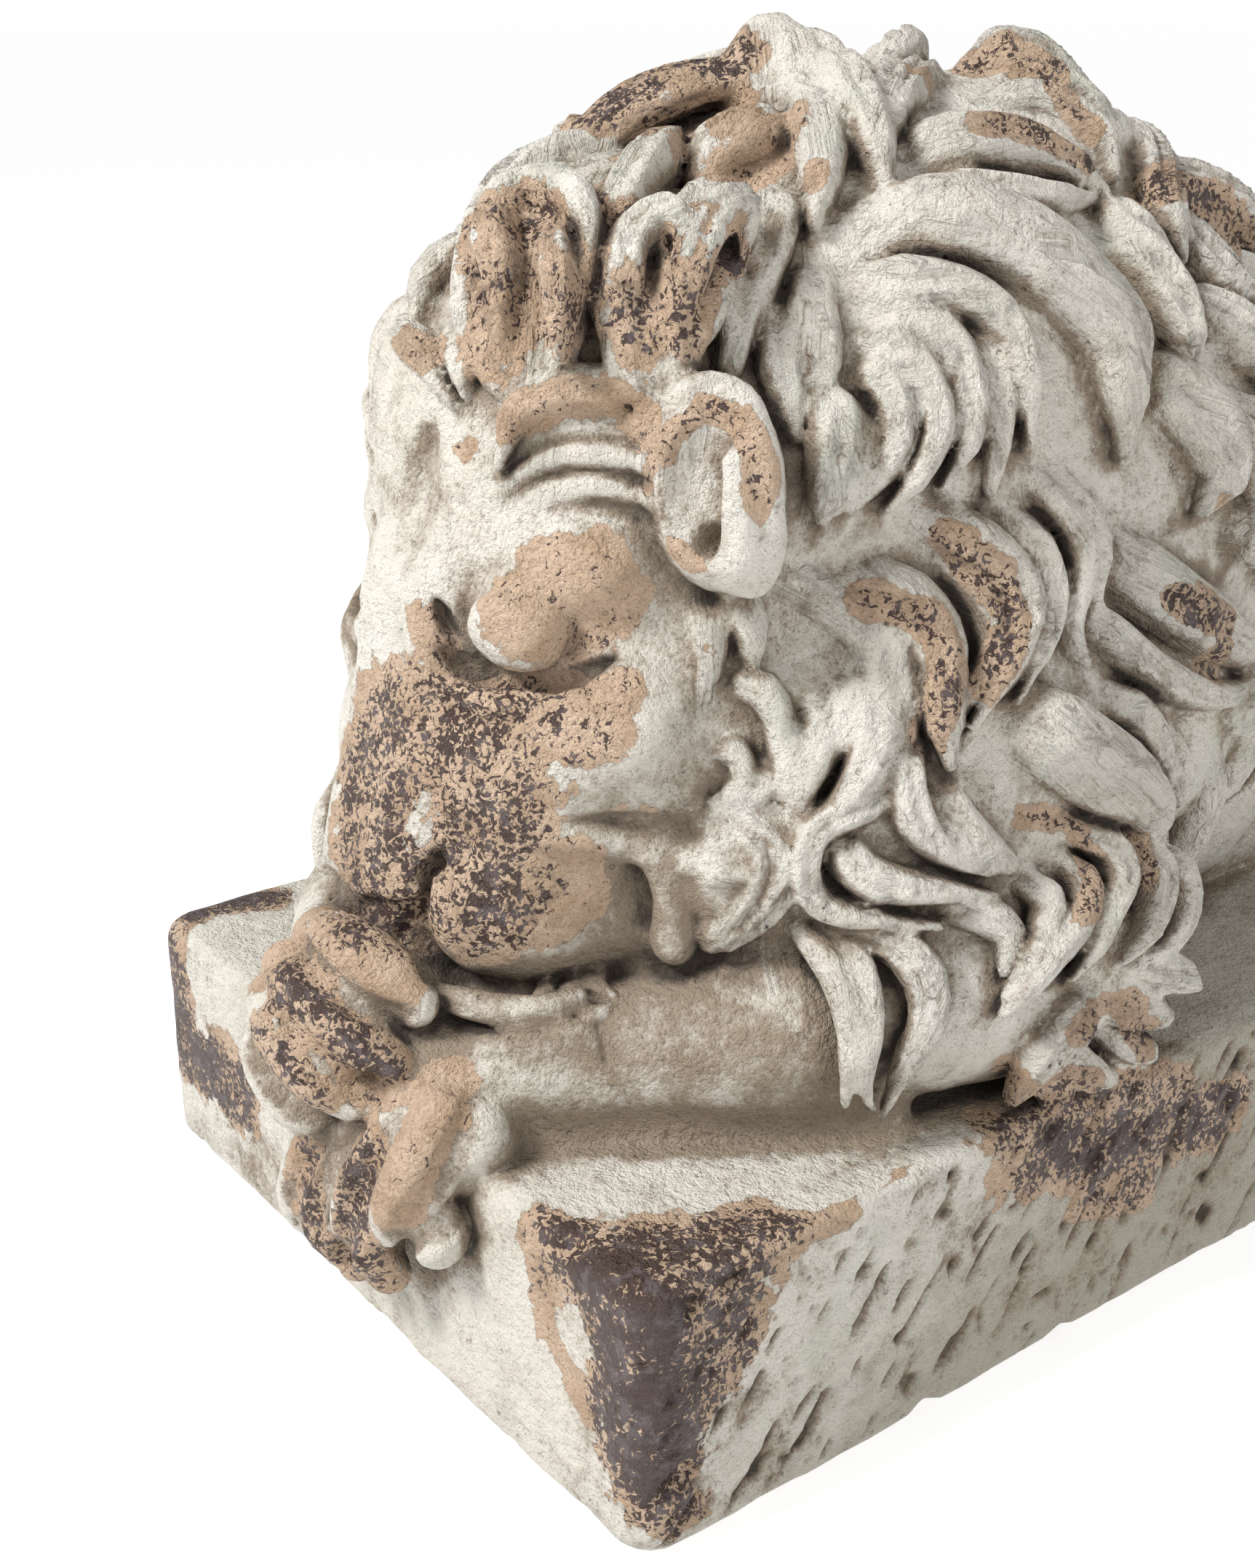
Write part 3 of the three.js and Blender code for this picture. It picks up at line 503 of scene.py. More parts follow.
# The locks of the lion's left side, each as half width, rise, lean, strands and the places it is drawn through.
# The right side has the same locks mirrored
side_locks = [
    # over the crown
    (12, 13, 0, 3, [[2, 284, 384], [26, 250, 378], [58, 216, 362], [80, 202, 346]]),
    (12, 13, 0, 2, [[16, 234, 392], [36, 220, 382], [62, 208, 366], [82, 200, 347]]),
    (12, 12, 10, 2, [[4, 232, 392], [40, 204, 372], [64, 185, 354], [79, 168, 334]]),
    (13, 11, 0, 3, [[16, 288, 388], [24, 270, 382], [51, 232, 374], [68, 212, 360]]),
    (12, 12, 18, 3, [[26, 296, 388], [30, 318, 392], [38, 328, 388], [48, 340, 374], [54, 350, 360]]),
    (9, 12, 18, 2, [[34, 300, 382], [42, 314, 384], [52, 326, 377], [62, 336, 366], [72, 342, 352]]),
    (9, 12, 18, 2, [[56, 272, 372], [58, 298, 374], [66, 314, 368], [76, 324, 358], [90, 320, 344]]),
    (15, 12, 14, 2, [[74, 219, 359], [78, 240, 360], [81, 268, 357], [87, 290, 350], [97, 305, 340]]),
    (9, 9, 10, 2, [[88, 222, 349], [96, 240, 345], [101, 266, 340], [99, 299, 338]]),
    (12, 12, 10, 3, [[30, 340, 382], [36, 366, 362], [38, 396, 346], [36, 424, 336]]),
    (12, 13, 16, 3, [[48, 356, 362], [62, 366, 356], [85, 353, 343], [106, 336, 328], [118, 333, 313]]),
    (11, 10, 10, 2, [[95, 316, 341], [107, 308, 330], [114, 315, 321], [121, 323, 311]]),
    # the big wave
    (18, 14, 16, 1, [[84, 174, 333], [95, 203, 337], [107, 230, 332], [120, 253, 316], [130, 271, 295],
     [139, 276, 271], [143, 276, 249]]),
    (7, 12, 20, 1, [[78, 195, 349], [93, 221, 344], [108, 246, 332], [118, 268, 318], [126, 284, 304],
     [134, 291, 287], [141, 284, 264]]),
    (13, 13, 16, 2, [[109, 293, 328], [118, 307, 317], [127, 314, 302], [134, 317, 288], [139, 318, 274]]),
    (15, 14, 12, 2, [[137, 288, 279], [142, 308, 268], [148, 324, 251], [151, 330, 235], [151, 319, 220]]),
    # the shell of curls behind the ear
    (10, 14, 18, 2, [[93, 164, 316], [105, 186, 317], [116, 207, 311], [126, 221, 298], [134, 224, 279],
     [139, 224, 257]]),
    (8, 9, 14, 2, [[117, 200, 306], [127, 212, 291], [133, 213, 274], [136, 211, 257], [138, 208, 240]]),
    (9, 11, 16, 2, [[98, 162, 307], [110, 183, 306], [121, 197, 295], [129, 201, 278], [132, 199, 261],
     [131, 189, 244]]),
    (8, 11, 16, 2, [[103, 159, 296], [113, 176, 296], [123, 186, 282], [128, 187, 265], [127, 178, 248],
     [123, 169, 237]]),
    (8, 10, 16, 2, [[108, 158, 285], [115, 171, 284], [121, 174, 271], [122, 170, 254], [117, 157, 238]]),
    (11, 13, 0, 2, [[103, 148, 281], [110, 153, 269], [112, 148, 252], [113, 145, 235]]),
    (6, 8, 0, 1, [[109, 157, 278], [117, 162, 263], [116, 155, 246], [114, 150, 236]]),
    (9, 8, 0, 2, [[85, 149, 312], [91, 141, 296], [98, 139, 280], [105, 139, 264]]),
    (10, 9, 0, 2, [[85, 164, 325], [94, 155, 307], [102, 153, 291], [105, 149, 278]]),
    # behind the wave, over the shoulder
    (10, 12, 10, 3, [[86, 359, 338], [112, 348, 318], [124, 362, 300], [130, 384, 288]]),
    (10, 12, 10, 3, [[118, 330, 306], [134, 350, 290], [140, 376, 272], [138, 398, 260]]),
    (12, 12, 10, 3, [[64, 372, 344], [74, 396, 338], [84, 420, 322], [92, 438, 306]]),
    (10, 11, 10, 2, [[146, 325, 257], [150, 347, 243], [152, 357, 222], [153, 350, 196]]),
    (11, 11, 10, 3, [[148, 344, 262], [148, 372, 242], [144, 388, 216], [142, 384, 190]]),
    # ropes and crescents down the side of the neck
    (7, 12, 8, 1, [[139, 225, 252], [142, 240, 233], [143, 253, 212], [146, 247, 194], [152, 239, 181],
     [159, 245, 166]]),
    (8, 12, 14, 2, [[138, 212, 235], [141, 231, 218], [144, 235, 199], [153, 226, 180], [160, 207, 162]]),
    (7, 10, 8, 1, [[141, 237, 248], [142, 256, 227], [143, 264, 210], [146, 258, 192], [151, 252, 179]]),
    (10, 14, 18, 2, [[126, 176, 236], [135, 200, 225], [141, 217, 208], [147, 219, 190], [153, 208, 174],
     [157, 186, 155]]),
    (7, 10, 14, 1, [[132, 189, 217], [138, 202, 203], [145, 205, 187], [151, 197, 173], [154, 181, 158]]),
    (12, 15, 18, 2, [[116, 152, 208], [125, 170, 206], [134, 181, 193], [143, 181, 177], [151, 176, 159],
     [157, 175, 142]]),
    (11, 10, 10, 2, [[107, 134, 212], [116, 151, 202], [125, 163, 191], [133, 165, 177], [142, 165, 164],
     [147, 165, 153]]),
    (11, 12, 14, 2, [[126, 153, 178], [135, 157, 167], [140, 155, 153], [139, 145, 135], [131, 131, 121]]),
    (6, 8, 0, 1, [[124, 145, 172], [131, 146, 158], [131, 139, 143]]),
    (7, 10, 0, 1, [[121, 136, 166], [127, 136, 150], [127, 130, 135], [126, 125, 121]]),
    (7, 10, 0, 1, [[114, 124, 168], [119, 126, 150], [122, 124, 135], [125, 125, 122]]),
    # beside the cheek
    (8, 8, 0, 1, [[97, 113, 214], [102, 119, 197], [107, 118, 179]]),
    (8, 7, 0, 1, [[94, 106, 206], [97, 104, 188], [100, 100, 170]]),
    (7, 10, 16, 1, [[106, 109, 175], [111, 120, 171], [116, 124, 159], [117, 120, 146]]),
    (5, 8, 10, 1, [[108, 98, 149], [111, 107, 150], [113, 110, 140], [111, 106, 131], [108, 98, 130]]),
    (6, 9, 14, 1, [[114, 113, 146], [117, 117, 135], [116, 112, 126], [109, 101, 122]]),
    (14, 13, 8, 3, [[109, 101, 126], [118, 112, 120], [123, 117, 107], [119, 111, 93], [112, 104, 82],
     [110, 100, 72]]),
    (6, 13, 0, 1, [[108, 96, 106], [112, 103, 103], [119, 112, 106]]),
    # the long S under the crescents, and the slab behind it
    (8, 13, 0, 2, [[145, 159, 147], [145, 152, 132], [138, 140, 125], [131, 129, 118], [130, 124, 105],
     [137, 130, 91], [150, 146, 86], [164, 167, 80]]),
    (8, 12, -10, 2, [[147, 167, 155], [148, 161, 141], [154, 161, 123], [160, 168, 110], [169, 186, 99]]),
    (9, 11, -10, 2, [[139, 140, 120], [142, 139, 108], [150, 147, 99], [161, 164, 96], [171, 189, 89]]),
    (10, 10, 0, 2, [[157, 173, 137], [162, 176, 119], [168, 186, 108], [172, 200, 98]]),
    (8, 9, 0, 2, [[163, 167, 88], [170, 182, 83], [177, 193, 73], [184, 185, 60]]),
    (18, 13, 14, 1, [[159, 208, 166], [169, 222, 146], [173, 249, 126], [174, 270, 110], [172, 282, 88]]),
    (10, 9, 14, 2, [[163, 255, 157], [166, 280, 136], [168, 296, 110]]),
    (9, 14, 14, 2, [[145, 245, 198], [149, 258, 183], [156, 280, 162], [160, 306, 146], [158, 332, 138],
     [154, 356, 138]]),
    (16, 12, 12, 2, [[143, 268, 213], [148, 293, 193], [153, 322, 172], [152, 348, 156], [147, 370, 148]]),
    (9, 12, 14, 2, [[148, 372, 134], [151, 380, 114], [149, 376, 94], [146, 362, 82]]),
    (8, 11, 14, 2, [[152, 350, 130], [154, 362, 112], [151, 356, 94], [148, 344, 86]]),
    (9, 11, 8, 2, [[156, 322, 128], [157, 334, 104], [155, 334, 82], [152, 330, 60]]),
    (8, 9, 8, 2, [[163, 282, 143], [165, 302, 118], [161, 312, 96]]),
    # the curl's end and the ruff over the elbow
    (8, 12, 14, 2, [[173, 216, 112], [176, 246, 98], [182, 249, 80], [191, 229, 65], [194, 212, 54]]),
    (7, 12, 14, 1, [[174, 224, 100], [180, 233, 82], [187, 218, 69], [190, 196, 57], [188, 180, 46]]),
    (7, 11, 14, 1, [[172, 200, 96], [178, 213, 81], [184, 202, 67], [187, 183, 52]]),
    (9, 11, 14, 2, [[172, 256, 100], [180, 274, 80], [188, 263, 62], [194, 241, 52]]),
    (9, 10, 10, 2, [[172, 284, 90], [182, 292, 68], [187, 280, 52], [194, 252, 50]]),
    # long locks that fall over the foreleg
    (9, 8, 6, 3, [[128, 120, 95], [141, 134, 84], [156, 149, 76], [171, 155, 62], [178, 150, 48], [177, 140, 34],
     [170, 136, 10]]),
    (6, 7, 4, 2, [[135, 127, 81], [151, 135, 71], [164, 132, 60], [172, 125, 45], [172, 122, 30], [171, 130, 15]]),
    (6, 6, 4, 1, [[128, 120, 83], [146, 125, 70], [164, 121, 57], [171, 117, 41], [169, 117, 19]]),
    # tufts at the elbow
    (11, 10, 0, 3, [[194, 228, 48], [195, 214, 34], [191, 200, 22], [184, 194, 4]]),
    (8, 9, 0, 2, [[193, 214, 26], [193, 226, 10], [192, 238, 2], [192, 250, -2]]),
    (8, 8, 0, 2, [[187, 204, 12], [188, 216, 3], [188, 226, -2]]),
    (12, 12, 14, 3, [[186, 232, 56], [187, 256, 44], [188, 278, 36], [188, 300, 22]]),
    (11, 11, 14, 3, [[188, 236, 38], [188, 260, 26], [188, 284, 14]]),
    (9, 9, 0, 2, [[187, 244, 12], [189, 260, 5], [190, 276, 2]]),
    # in front of the ear and over the brow
    (9, 8, -8, 2, [[76, 97, 288], [65, 81, 283], [51, 67, 281], [43, 57, 270], [43, 50, 254]]),
    (5, 6, 0, 1, [[72, 86, 276], [80, 91, 263], [86, 92, 247]]),
    (5, 6, 0, 1, [[86, 90, 238], [91, 101, 225], [97, 112, 211]]),
]
middle_locks = [
    # the top tuft and the big forelock beside it
    (21, 14, 0, 2, [[20, 200, 362], [8, 208, 377], [-2, 216, 389], [-8, 222, 399]]),
    (20, 12, 0, 2, [[-22, 214, 364], [-14, 218, 378], [-8, 222, 390]]),
    (18, 12, 0, 3, [[30, 214, 372], [14, 222, 386], [2, 228, 394]]),
    (28, 11, 0, 6, [[-4, 222, 382], [-18, 200, 382], [-26, 174, 374], [-26, 152, 362], [-18, 134, 350]]),
    (14, 12, 0, 3, [[26, 200, 372], [32, 178, 364], [32, 160, 355], [40, 146, 341]]),
    (11, 9, 0, 2, [[60, 170, 350], [68, 158, 338], [75, 148, 323], [83, 140, 306]]),
    # forelocks
    (34, 9, 0, 6, [[4, 158, 358], [2, 130, 350], [6, 100, 338], [22, 82, 322], [36, 68, 298], [42, 62, 272]]),
    (27, 9, 0, 5, [[46, 156, 344], [54, 126, 333], [66, 106, 318], [74, 96, 300], [78, 92, 276]]),
    (10, 14, 0, 2, [[-20, 166, 364], [-18, 134, 356], [-16, 106, 345], [-4, 82, 330], [10, 64, 306], [20, 56, 284]]),
    (9, 13, 0, 2, [[24, 145, 350], [20, 129, 345], [26, 106, 338], [40, 90, 324], [50, 76, 300], [54, 70, 280]]),
    (9, 12, 0, 2, [[31, 136, 343], [42, 115, 334], [55, 98, 320], [66, 90, 298], [70, 88, 280]]),
    (9, 13, 0, 2, [[40, 158, 356], [50, 137, 339], [60, 118, 330], [72, 104, 310], [84, 102, 280]]),
    (7, 12, 0, 1, [[9, 65, 331], [4, 78, 341], [6, 95, 344], [44, 88, 341], [53, 86, 330], [57, 80, 314]]),
    (8, 12, 10, 2, [[78, 84, 306], [69, 87, 321], [62, 96, 333], [66, 108, 338], [74, 109, 336], [84, 104, 324]]),
    (8, 13, 10, 2, [[89, 97, 309], [84, 104, 324], [77, 118, 336], [75, 131, 341], [76, 136, 333], [80, 131, 324]]),
    (10, 12, 0, 2, [[52, 92, 333], [41, 110, 345], [29, 134, 356], [20, 153, 362]]),
    (9, 14, 0, 2, [[5, 92, 343], [13, 70, 331], [24, 69, 318], [30, 65, 304], [36, 60, 286]]),
    (8, 14, 0, 2, [[30, 84, 338], [49, 74, 323], [58, 69, 311], [62, 66, 293]]),
    (10, 9, 0, 2, [[70, 147, 325], [77, 134, 313], [82, 126, 299], [87, 119, 280]]),
    (16, 11, 0, 4, [[-40, 166, 350], [-46, 138, 340], [-46, 108, 326], [-40, 84, 308]]),
    (15, 12, 0, 3, [[-72, 176, 332], [-80, 146, 320], [-80, 116, 302], [-74, 96, 284]]),
    (9, 8, 0, 2, [[-36, 140, 360], [-48, 150, 362], [-56, 158, 362]]),
    (10, 9, 0, 2, [[-18, 96, 333], [-24, 80, 322], [-28, 68, 312], [-22, 58, 300]]),
    (8, 8, 0, 2, [[-42, 66, 290], [-26, 54, 293], [-4, 50, 287], [16, 49, 272]]),
    (7, 7, 0, 1, [[-4, 60, 297], [10, 56, 291], [21, 51, 276]]),
    (10, 8, 0, 2, [[-58, 86, 304], [-60, 70, 290], [-56, 60, 270]]),
]
rear_locks = [
    [angle, depth - 6 * (i % 2), angle + 14, depth + length - 8 * (i % 2), -10, half, 14]
    for depth, length, half, start, end, count in ((352, 64, 18, 20, 104, 4), (398, 56, 18, 4, 110, 5))
    for i, angle in enumerate(np.linspace(start, end, count))
]

mane = [
    *(laid(row, s) for row in rear_locks for s in (1, -1)),
    *(drawn(row, s) for row in side_locks for s in (1, -1)),
    *(drawn(row) for row in middle_locks),
]
carve(field, mane)
carve(field, ears)

# The creases between the toes, and the pads' worn folds
carve(
    field,
    [
        groove(
            [[5, -27, 67], [25, -30, 63], [37, -28, 59], [45, -23, 54], [49, -15, 49], [58, -9, 50]],
            [2, 5, 6, 6, 5, 3],
        ),
        groove(
            [[17, -43, 55], [24, -44, 44], [36, -44, 36], [45, -40, 29], [50, -31, 23], [57, -22, 24]],
            [2, 5, 6, 6, 5, 3],
        ),
        groove([[-3, -49, 23], [11, -50, 17], [22, -46, 9], [29, -39, 2]], [3, 5, 6, 4]),
        groove([[1, -38, 58], [1, -33, 62], [2, -26, 65]], [2, 3, 2]),
        groove([[85, 1, 23], [92, -8, 16], [92, -17, -1], [87, -27, -16], [77, -32, -32]], [2, 4, 5, 5, 3]),
        groove([[68, -23, 15], [64, -32, -3], [55, -39, -27], [48, -40, -47], [31, -30, -71]], [2, 5, 6, 6, 4]),
        groove([[50, -30, 4], [38, -36, -15], [28, -40, -37], [22, -40, -57]], [2, 5, 6, 4]),
        groove([[32, -33, -8], [15, -38, -29], [3, -39, -50]], [2, 5, 4]),
        groove([[90, -8, -25], [91, -19, -26], [86, -26, -29], [57, -14, -58]], [2, 4, 4, 3]),
    ],
)

# The face's finer forms, each settled on the skin: the near eye's lid first
LIP_LINE = [[44, 2, 60], [62, 9, 58], [76, 19, 57], [89, 32, 60], [101, 48, 68], [104, 66, 74]]
LOWER_LIP = [[44, 12, 47], [62, 18, 48], [75, 27, 48], [85, 38, 50], [89, 49, 53]]
carve(
    field,
    [
        egg([53, 48, 197], [22, 16, 19], turn=(0, 8, 14), blend=4),
        egg([-50, 64, 192], [22, 18, 20], turn=(0, -6, -12), blend=6),
    ],
)
carve(
    field,
    [
        *crease(
            [[28, 26, 190], [34, 34, 178], [41, 39, 173], [51, 47, 174], [69, 48, 177], [78, 57, 181], [86, 70, 188]],
            [2, 5, 6, 6, 5.5, 4, 1.5],
            blend=2,
            sink=2,
        ),
        *crease([[30, 22, 168], [50, 26, 165], [70, 38, 170], [86, 52, 178]], [1, 2.2, 2.2, 1], blend=5),
        *crease([[25, 27, 205], [29, 28, 196], [34, 32, 187]], [2.5, 4.5, 3], blend=2, sink=2),
        *crease([[20, 27, 191], [28, 27, 182], [33, 33, 171]], [2, 3.5, 2.5], blend=3),
        *crease([[36, 28, 198], [41, 30, 210], [54, 34, 219]], [2, 2, 1], blend=5),
        # nostrils, lip line, and the fold behind the whisker pad
        *crease(
            [[40, 15, 106], [41, 17, 98], [40, 18, 90], [36, 16, 82], [29, 8, 77]],
            [2, 4.5, 5.5, 5, 4],
            blend=2,
            sink=2,
        ),
        *crease([[33, 12, 81], [26, 6, 79], [16, 0, 78], [6, -4, 78]], [5, 5, 4, 2], blend=3, sink=1),
        *dimple([38, 16, 96], [5, 9, 6], turn=(0, 20, 0), blend=2, sink=3),
        *crease([[31, 8, 72], [27, 6, 62], [24, 8, 52]], [3, 2.5, 1.5], blend=4),
        *crease([[46, 14, 102], [54, 18, 112], [56, 24, 126]], [2, 2.5, 1], blend=8),
        *crease([[86, 51, 124], [90, 69, 124], [98, 85, 121], [107, 96, 115]], [1, 3, 3.5, 2], blend=4, sides=(1,)),
        *crease([[64, 46, 124], [82, 56, 124], [90, 66, 120]], [1, 2.5, 2], blend=5, sides=(-1,)),
        *crease([[98, 78, 110], [97, 76, 94], [96, 78, 80]], [2, 8, 4], blend=9),
        *(
            form
            for i in range(3)
            for j in range(4)
            for form in dimple([62 + 7 * j, 22 + 7 * j + 2 * i, 98 - 10 * i - 2 * j], [1.8, 2.6, 1.8], blend=2)
        ),
        *pair(lambda s: limb(mirrored(LIP_LINE, s), [2, 3, 3.5, 3.5, 3, 2], blend=3, cut=True)),
        # brow wrinkles, from the ears towards the middle
        *crease([[84, 88, 262], [70, 72, 267], [56, 60, 263], [44, 52, 254]], [2, 2.5, 2.5, 1]),
        *crease([[86, 88, 250], [72, 73, 255], [58, 60, 252], [45, 50, 243]], [2, 2.5, 2.5, 1]),
        *crease([[86, 86, 238], [74, 73, 243], [60, 60, 240]], [2, 2.5, 1]),
        limb([[2, 44, 258], [3, 34, 240], [3, 26, 222]], [1.5, 4, 2], blend=14, cut=True),
        limb([[0, -8, 78], [0, 0, 62], [0, 14, 46]], [3, 5, 5], blend=5, cut=True),
    ],
)
carve(
    field,
    [
        *fold([[28, 25, 202], [31, 26, 194], [36, 27, 186]], [2, 3, 2], blend=6),
        *fold([[18, 18, 188], [26, 21, 183], [36, 26, 176]], [2.5, 4, 2]),
        *fold([[40, 28, 171], [58, 32, 171], [80, 46, 179]], [1.5, 3, 1.5], blend=5),
        *fold([[76, 44, 118], [87, 56, 116], [97, 72, 111], [106, 86, 106]], [2.5, 5, 5, 3], blend=6, sides=(1,)),
        *fold([[48, 17, 102], [50, 17, 90], [50, 18, 76], [51, 24, 62]], [4, 8, 9, 5], blend=10, sink=4),
        *fold([[30, 29, 180], [37, 35, 168], [56, 39, 168], [72, 50, 170]], [2, 4, 3.5, 1.5], blend=4),
        *fold([[84, 88, 257], [70, 72, 261], [56, 60, 258], [45, 51, 249]], [2, 3.5, 3, 1.5]),
        *fold([[86, 87, 244], [72, 73, 249], [58, 60, 246], [46, 50, 237]], [2, 3, 2.5, 1.5]),
        *pair(lambda s: limb([[s * 98, 78, 108], [s * 101, 84, 92], [s * 102, 86, 70]], [4, 6, 8], blend=8)),
        *pair(lambda s: limb(mirrored(LOWER_LIP, s), [5, 6.5, 6.5, 5.5, 4], blend=3)),
        # a few short curls of beard under the lip
        *(
            ridge(points, [4, 5.5, 5.5, 4, 2], blend=1.5, sink=-1.5)
            for points in (
                [(69, 48, 48), (76, 41, 44), (88, 41, 42), (96, 47, 40), (103, 48, 34)],
                [(73, 60, 51), (80, 52, 46), (92, 52, 44), (95, 60, 46)],
                [(76, 68, 52), (80, 63, 48), (92, 64, 48)],
            )
        ),
        # the beard's swell under the jaw, in shallow waves
        *(ridge([[s * 74, 16, 40], [s * 84, 30, 37], [s * 92, 46, 36]], [3, 5, 3], blend=6) for s in (1, -1)),
    ],
)

# The plinth: a slab with round corners and worn edges
front, back = -DRAWING_SETBACK, PLINTH_LENGTH - DRAWING_SETBACK


def slab(edge):
    middle = [np.float32(v) for v in (0, (front + back) / 2, -DRAWING_RISE - PLINTH_HEIGHT / 2)]
    half = [np.float32(v) for v in (PLINTH_WIDTH / 2, PLINTH_LENGTH / 2, PLINTH_HEIGHT / 2)]
    corner, edge = np.float32(PLINTH_CORNER_RADIUS), np.float32(edge)

    def distance(x, y, z):
        u, v = (np.abs(c - m) - h + corner for c, m, h in zip((x, y), middle, half))
        around = np.sqrt(np.maximum(u, 0) ** 2 + np.maximum(v, 0) ** 2) + np.minimum(np.maximum(u, v), 0) - corner
        a, b = around + edge, np.abs(z - middle[2]) - half[2] + edge
        return np.sqrt(np.maximum(a, 0) ** 2 + np.maximum(b, 0) ** 2) + np.minimum(np.maximum(a, b), 0) - edge

    return Form(np.subtract(middle, half), np.add(middle, half), distance, 3, False)


carve(field, [slab(PLINTH_EDGE_RADIUS)])
side = PLINTH_WIDTH / 2
top, bottom = -DRAWING_RISE, -DRAWING_RISE - PLINTH_HEIGHT
rng = np.random.default_rng(CHIP_SEED)
chips = [egg([side + 2, 14, -92], [9, 11, 6], turn=(40, 0, 0), blend=3, cut=True)]
for edge, count in CHIPS.items():
    for _ in range(count):
        s, r = rng.choice([1, -1]), rng.uniform(3, 8)
        y = rng.uniform(front + 20, back - 20)
        if edge == "corner":
            at = [s * (side - 1), rng.choice([front, back]), rng.uniform(bottom + 8, top - 8)]
        elif rng.random() < 0.3:
            at = [rng.uniform(-side, side), rng.choice([front, back]), top if edge == "top" else bottom]
        else:
            at = [s * (side + 1), y, top if edge == "top" else bottom]
        if edge == "top" and abs(at[1] - front) < 1 and at[0] < 110:
            continue
        radii = [r, r * rng.uniform(1, 2), r * rng.uniform(0.5, 1)]
        chips.append(egg(at, radii, tuple(rng.uniform(-40, 40, 3)), 3, True))
carve(field, chips)


def surface(field):
    """Surface nets: one vertex to each cell that the surface crosses, settled on it, and quads as triangles."""
    inside = field < 0
    mixed = np.zeros(SHAPE - 1, bool)
    first = inside[:-1, :-1, :-1]
    corners = [(i, j, k) for i in (0, 1) for j in (0, 1) for k in (0, 1)]

    def shifted(a, c):
        return a[tuple(slice(d, a.shape[n] - 1 + d) for n, d in enumerate(c))]

    for c in corners[1:]:
        mixed |= shifted(inside, c) != first
    cells = np.argwhere(mixed)
    values = {c: field[tuple((cells + c).T)] for c in corners}
    total = np.zeros((len(cells), 3))
    crossings = np.zeros(len(cells))
    for a in corners:
        for axis in range(3):
            if a[axis]:
                continue
            b = tuple(v + (n == axis) for n, v in enumerate(a))
            fa, fb = values[a], values[b]
            crossed = (fa < 0) != (fb < 0)
            t = np.where(crossed, fa / np.where(crossed, fa - fb, 1), 0)
            for n in range(3):
                total[:, n] += crossed * (a[n] + (t if n == axis else 0))
            crossings += crossed
    points = LOW + CELL * (cells + total / crossings[:, None])
    number = np.full(SHAPE - 1, -1, np.int32)
    number[tuple(cells.T)] = np.arange(len(cells))
    triangles = []
    for axis in range(3):
        u, v = (axis + 1) % 3, (axis + 2) % 3
        one = inside[tuple(slice(0, -1) if n == axis else slice(1, -1) for n in range(3))]
        two = inside[tuple(slice(1, None) if n == axis else slice(1, -1) for n in range(3))]
        at = np.argwhere(one != two)
        at[:, u] += 1
        at[:, v] += 1
        eu, ev = np.eye(3, dtype=int)[u], np.eye(3, dtype=int)[v]
        a, b, c, d = (number[tuple((at - s).T)] for s in (eu + ev, ev, 0 * eu, eu))
        solid = inside[tuple(at.T)][:, None]
        triangles += [
            np.where(solid, np.stack([a, b, c], 1), np.stack([a, c, b], 1)),
            np.where(solid, np.stack([a, c, d], 1), np.stack([a, d, c], 1)),
        ]
    return points, np.vstack(triangles)


points, triangles = surface(field)


def lattice_noise(p, size, seed):
    """Smooth noise from -1 to 1 with features of the given size in mm."""
    table = np.random.default_rng(seed).uniform(-1, 1, (32, 32, 32)).astype(np.float32)
    s = p / size + 500
    i = np.floor(s).astype(int)
    f = s - i
    f = f * f * (3 - 2 * f)
    value = 0
    for dx in (0, 1):
        for dy in (0, 1):
            for dz in (0, 1):
                w = (
                    (f[:, 0] if dx else 1 - f[:, 0])
                    * (f[:, 1] if dy else 1 - f[:, 1])
                    * (f[:, 2] if dz else 1 - f[:, 2])
                )
                value = value + w * table[(i[:, 0] + dx) % 32, (i[:, 1] + dy) % 32, (i[:, 2] + dz) % 32]
    return value


normals = outward(field, points, 3.0)
points = points - normals * np.clip(sample(field, points), -1, 1)[:, None]
on_plinth = np.clip((-DRAWING_RISE - 2 - points[:, 2]) / 6, 0, 1)
wobble = 0.5 * lattice_noise(points, 22, 1) + 0.25 * lattice_noise(points, 9, 2)
wobble += on_plinth * (1.0 * lattice_noise(points, 55, 3) + 0.5 * lattice_noise(points, 14, 4))
lean = math.radians(GOUGE_SLANT)
slanted = np.stack(
    [
        points[:, 0] / 6,
        (points[:, 1] * math.cos(lean) + points[:, 2] * math.sin(lean)) / GOUGE_LENGTH,
        (points[:, 2] * math.cos(lean) - points[:, 1] * math.sin(lean)) / 4.5,
    ],
    1,
)
on_side = np.clip((np.abs(points[:, 0]) - PLINTH_WIDTH / 2 + 6) / 4, 0, 1)
wobble -= on_plinth * on_side * GOUGE_DEPTH * np.clip(lattice_noise(slanted, 1, 5) * 2.8 - 1.25, 0, 1)
wobble -= on_plinth * PIT_DEPTH * np.clip(lattice_noise(points, 6, 6) * 3 - 1.9, 0, 1)
wobble *= np.clip((points[:, 2] + DRAWING_RISE + PLINTH_HEIGHT) / 4, 0, 1)
points = points + normals * wobble[:, None]


def to_frame(p):
    return (p + [0, DRAWING_SETBACK - PLINTH_LENGTH / 2, DRAWING_RISE + PLINTH_HEIGHT]) / 1000


def from_frame(p):
    return p * 1000 - [0, DRAWING_SETBACK - PLINTH_LENGTH / 2, DRAWING_RISE + PLINTH_HEIGHT]


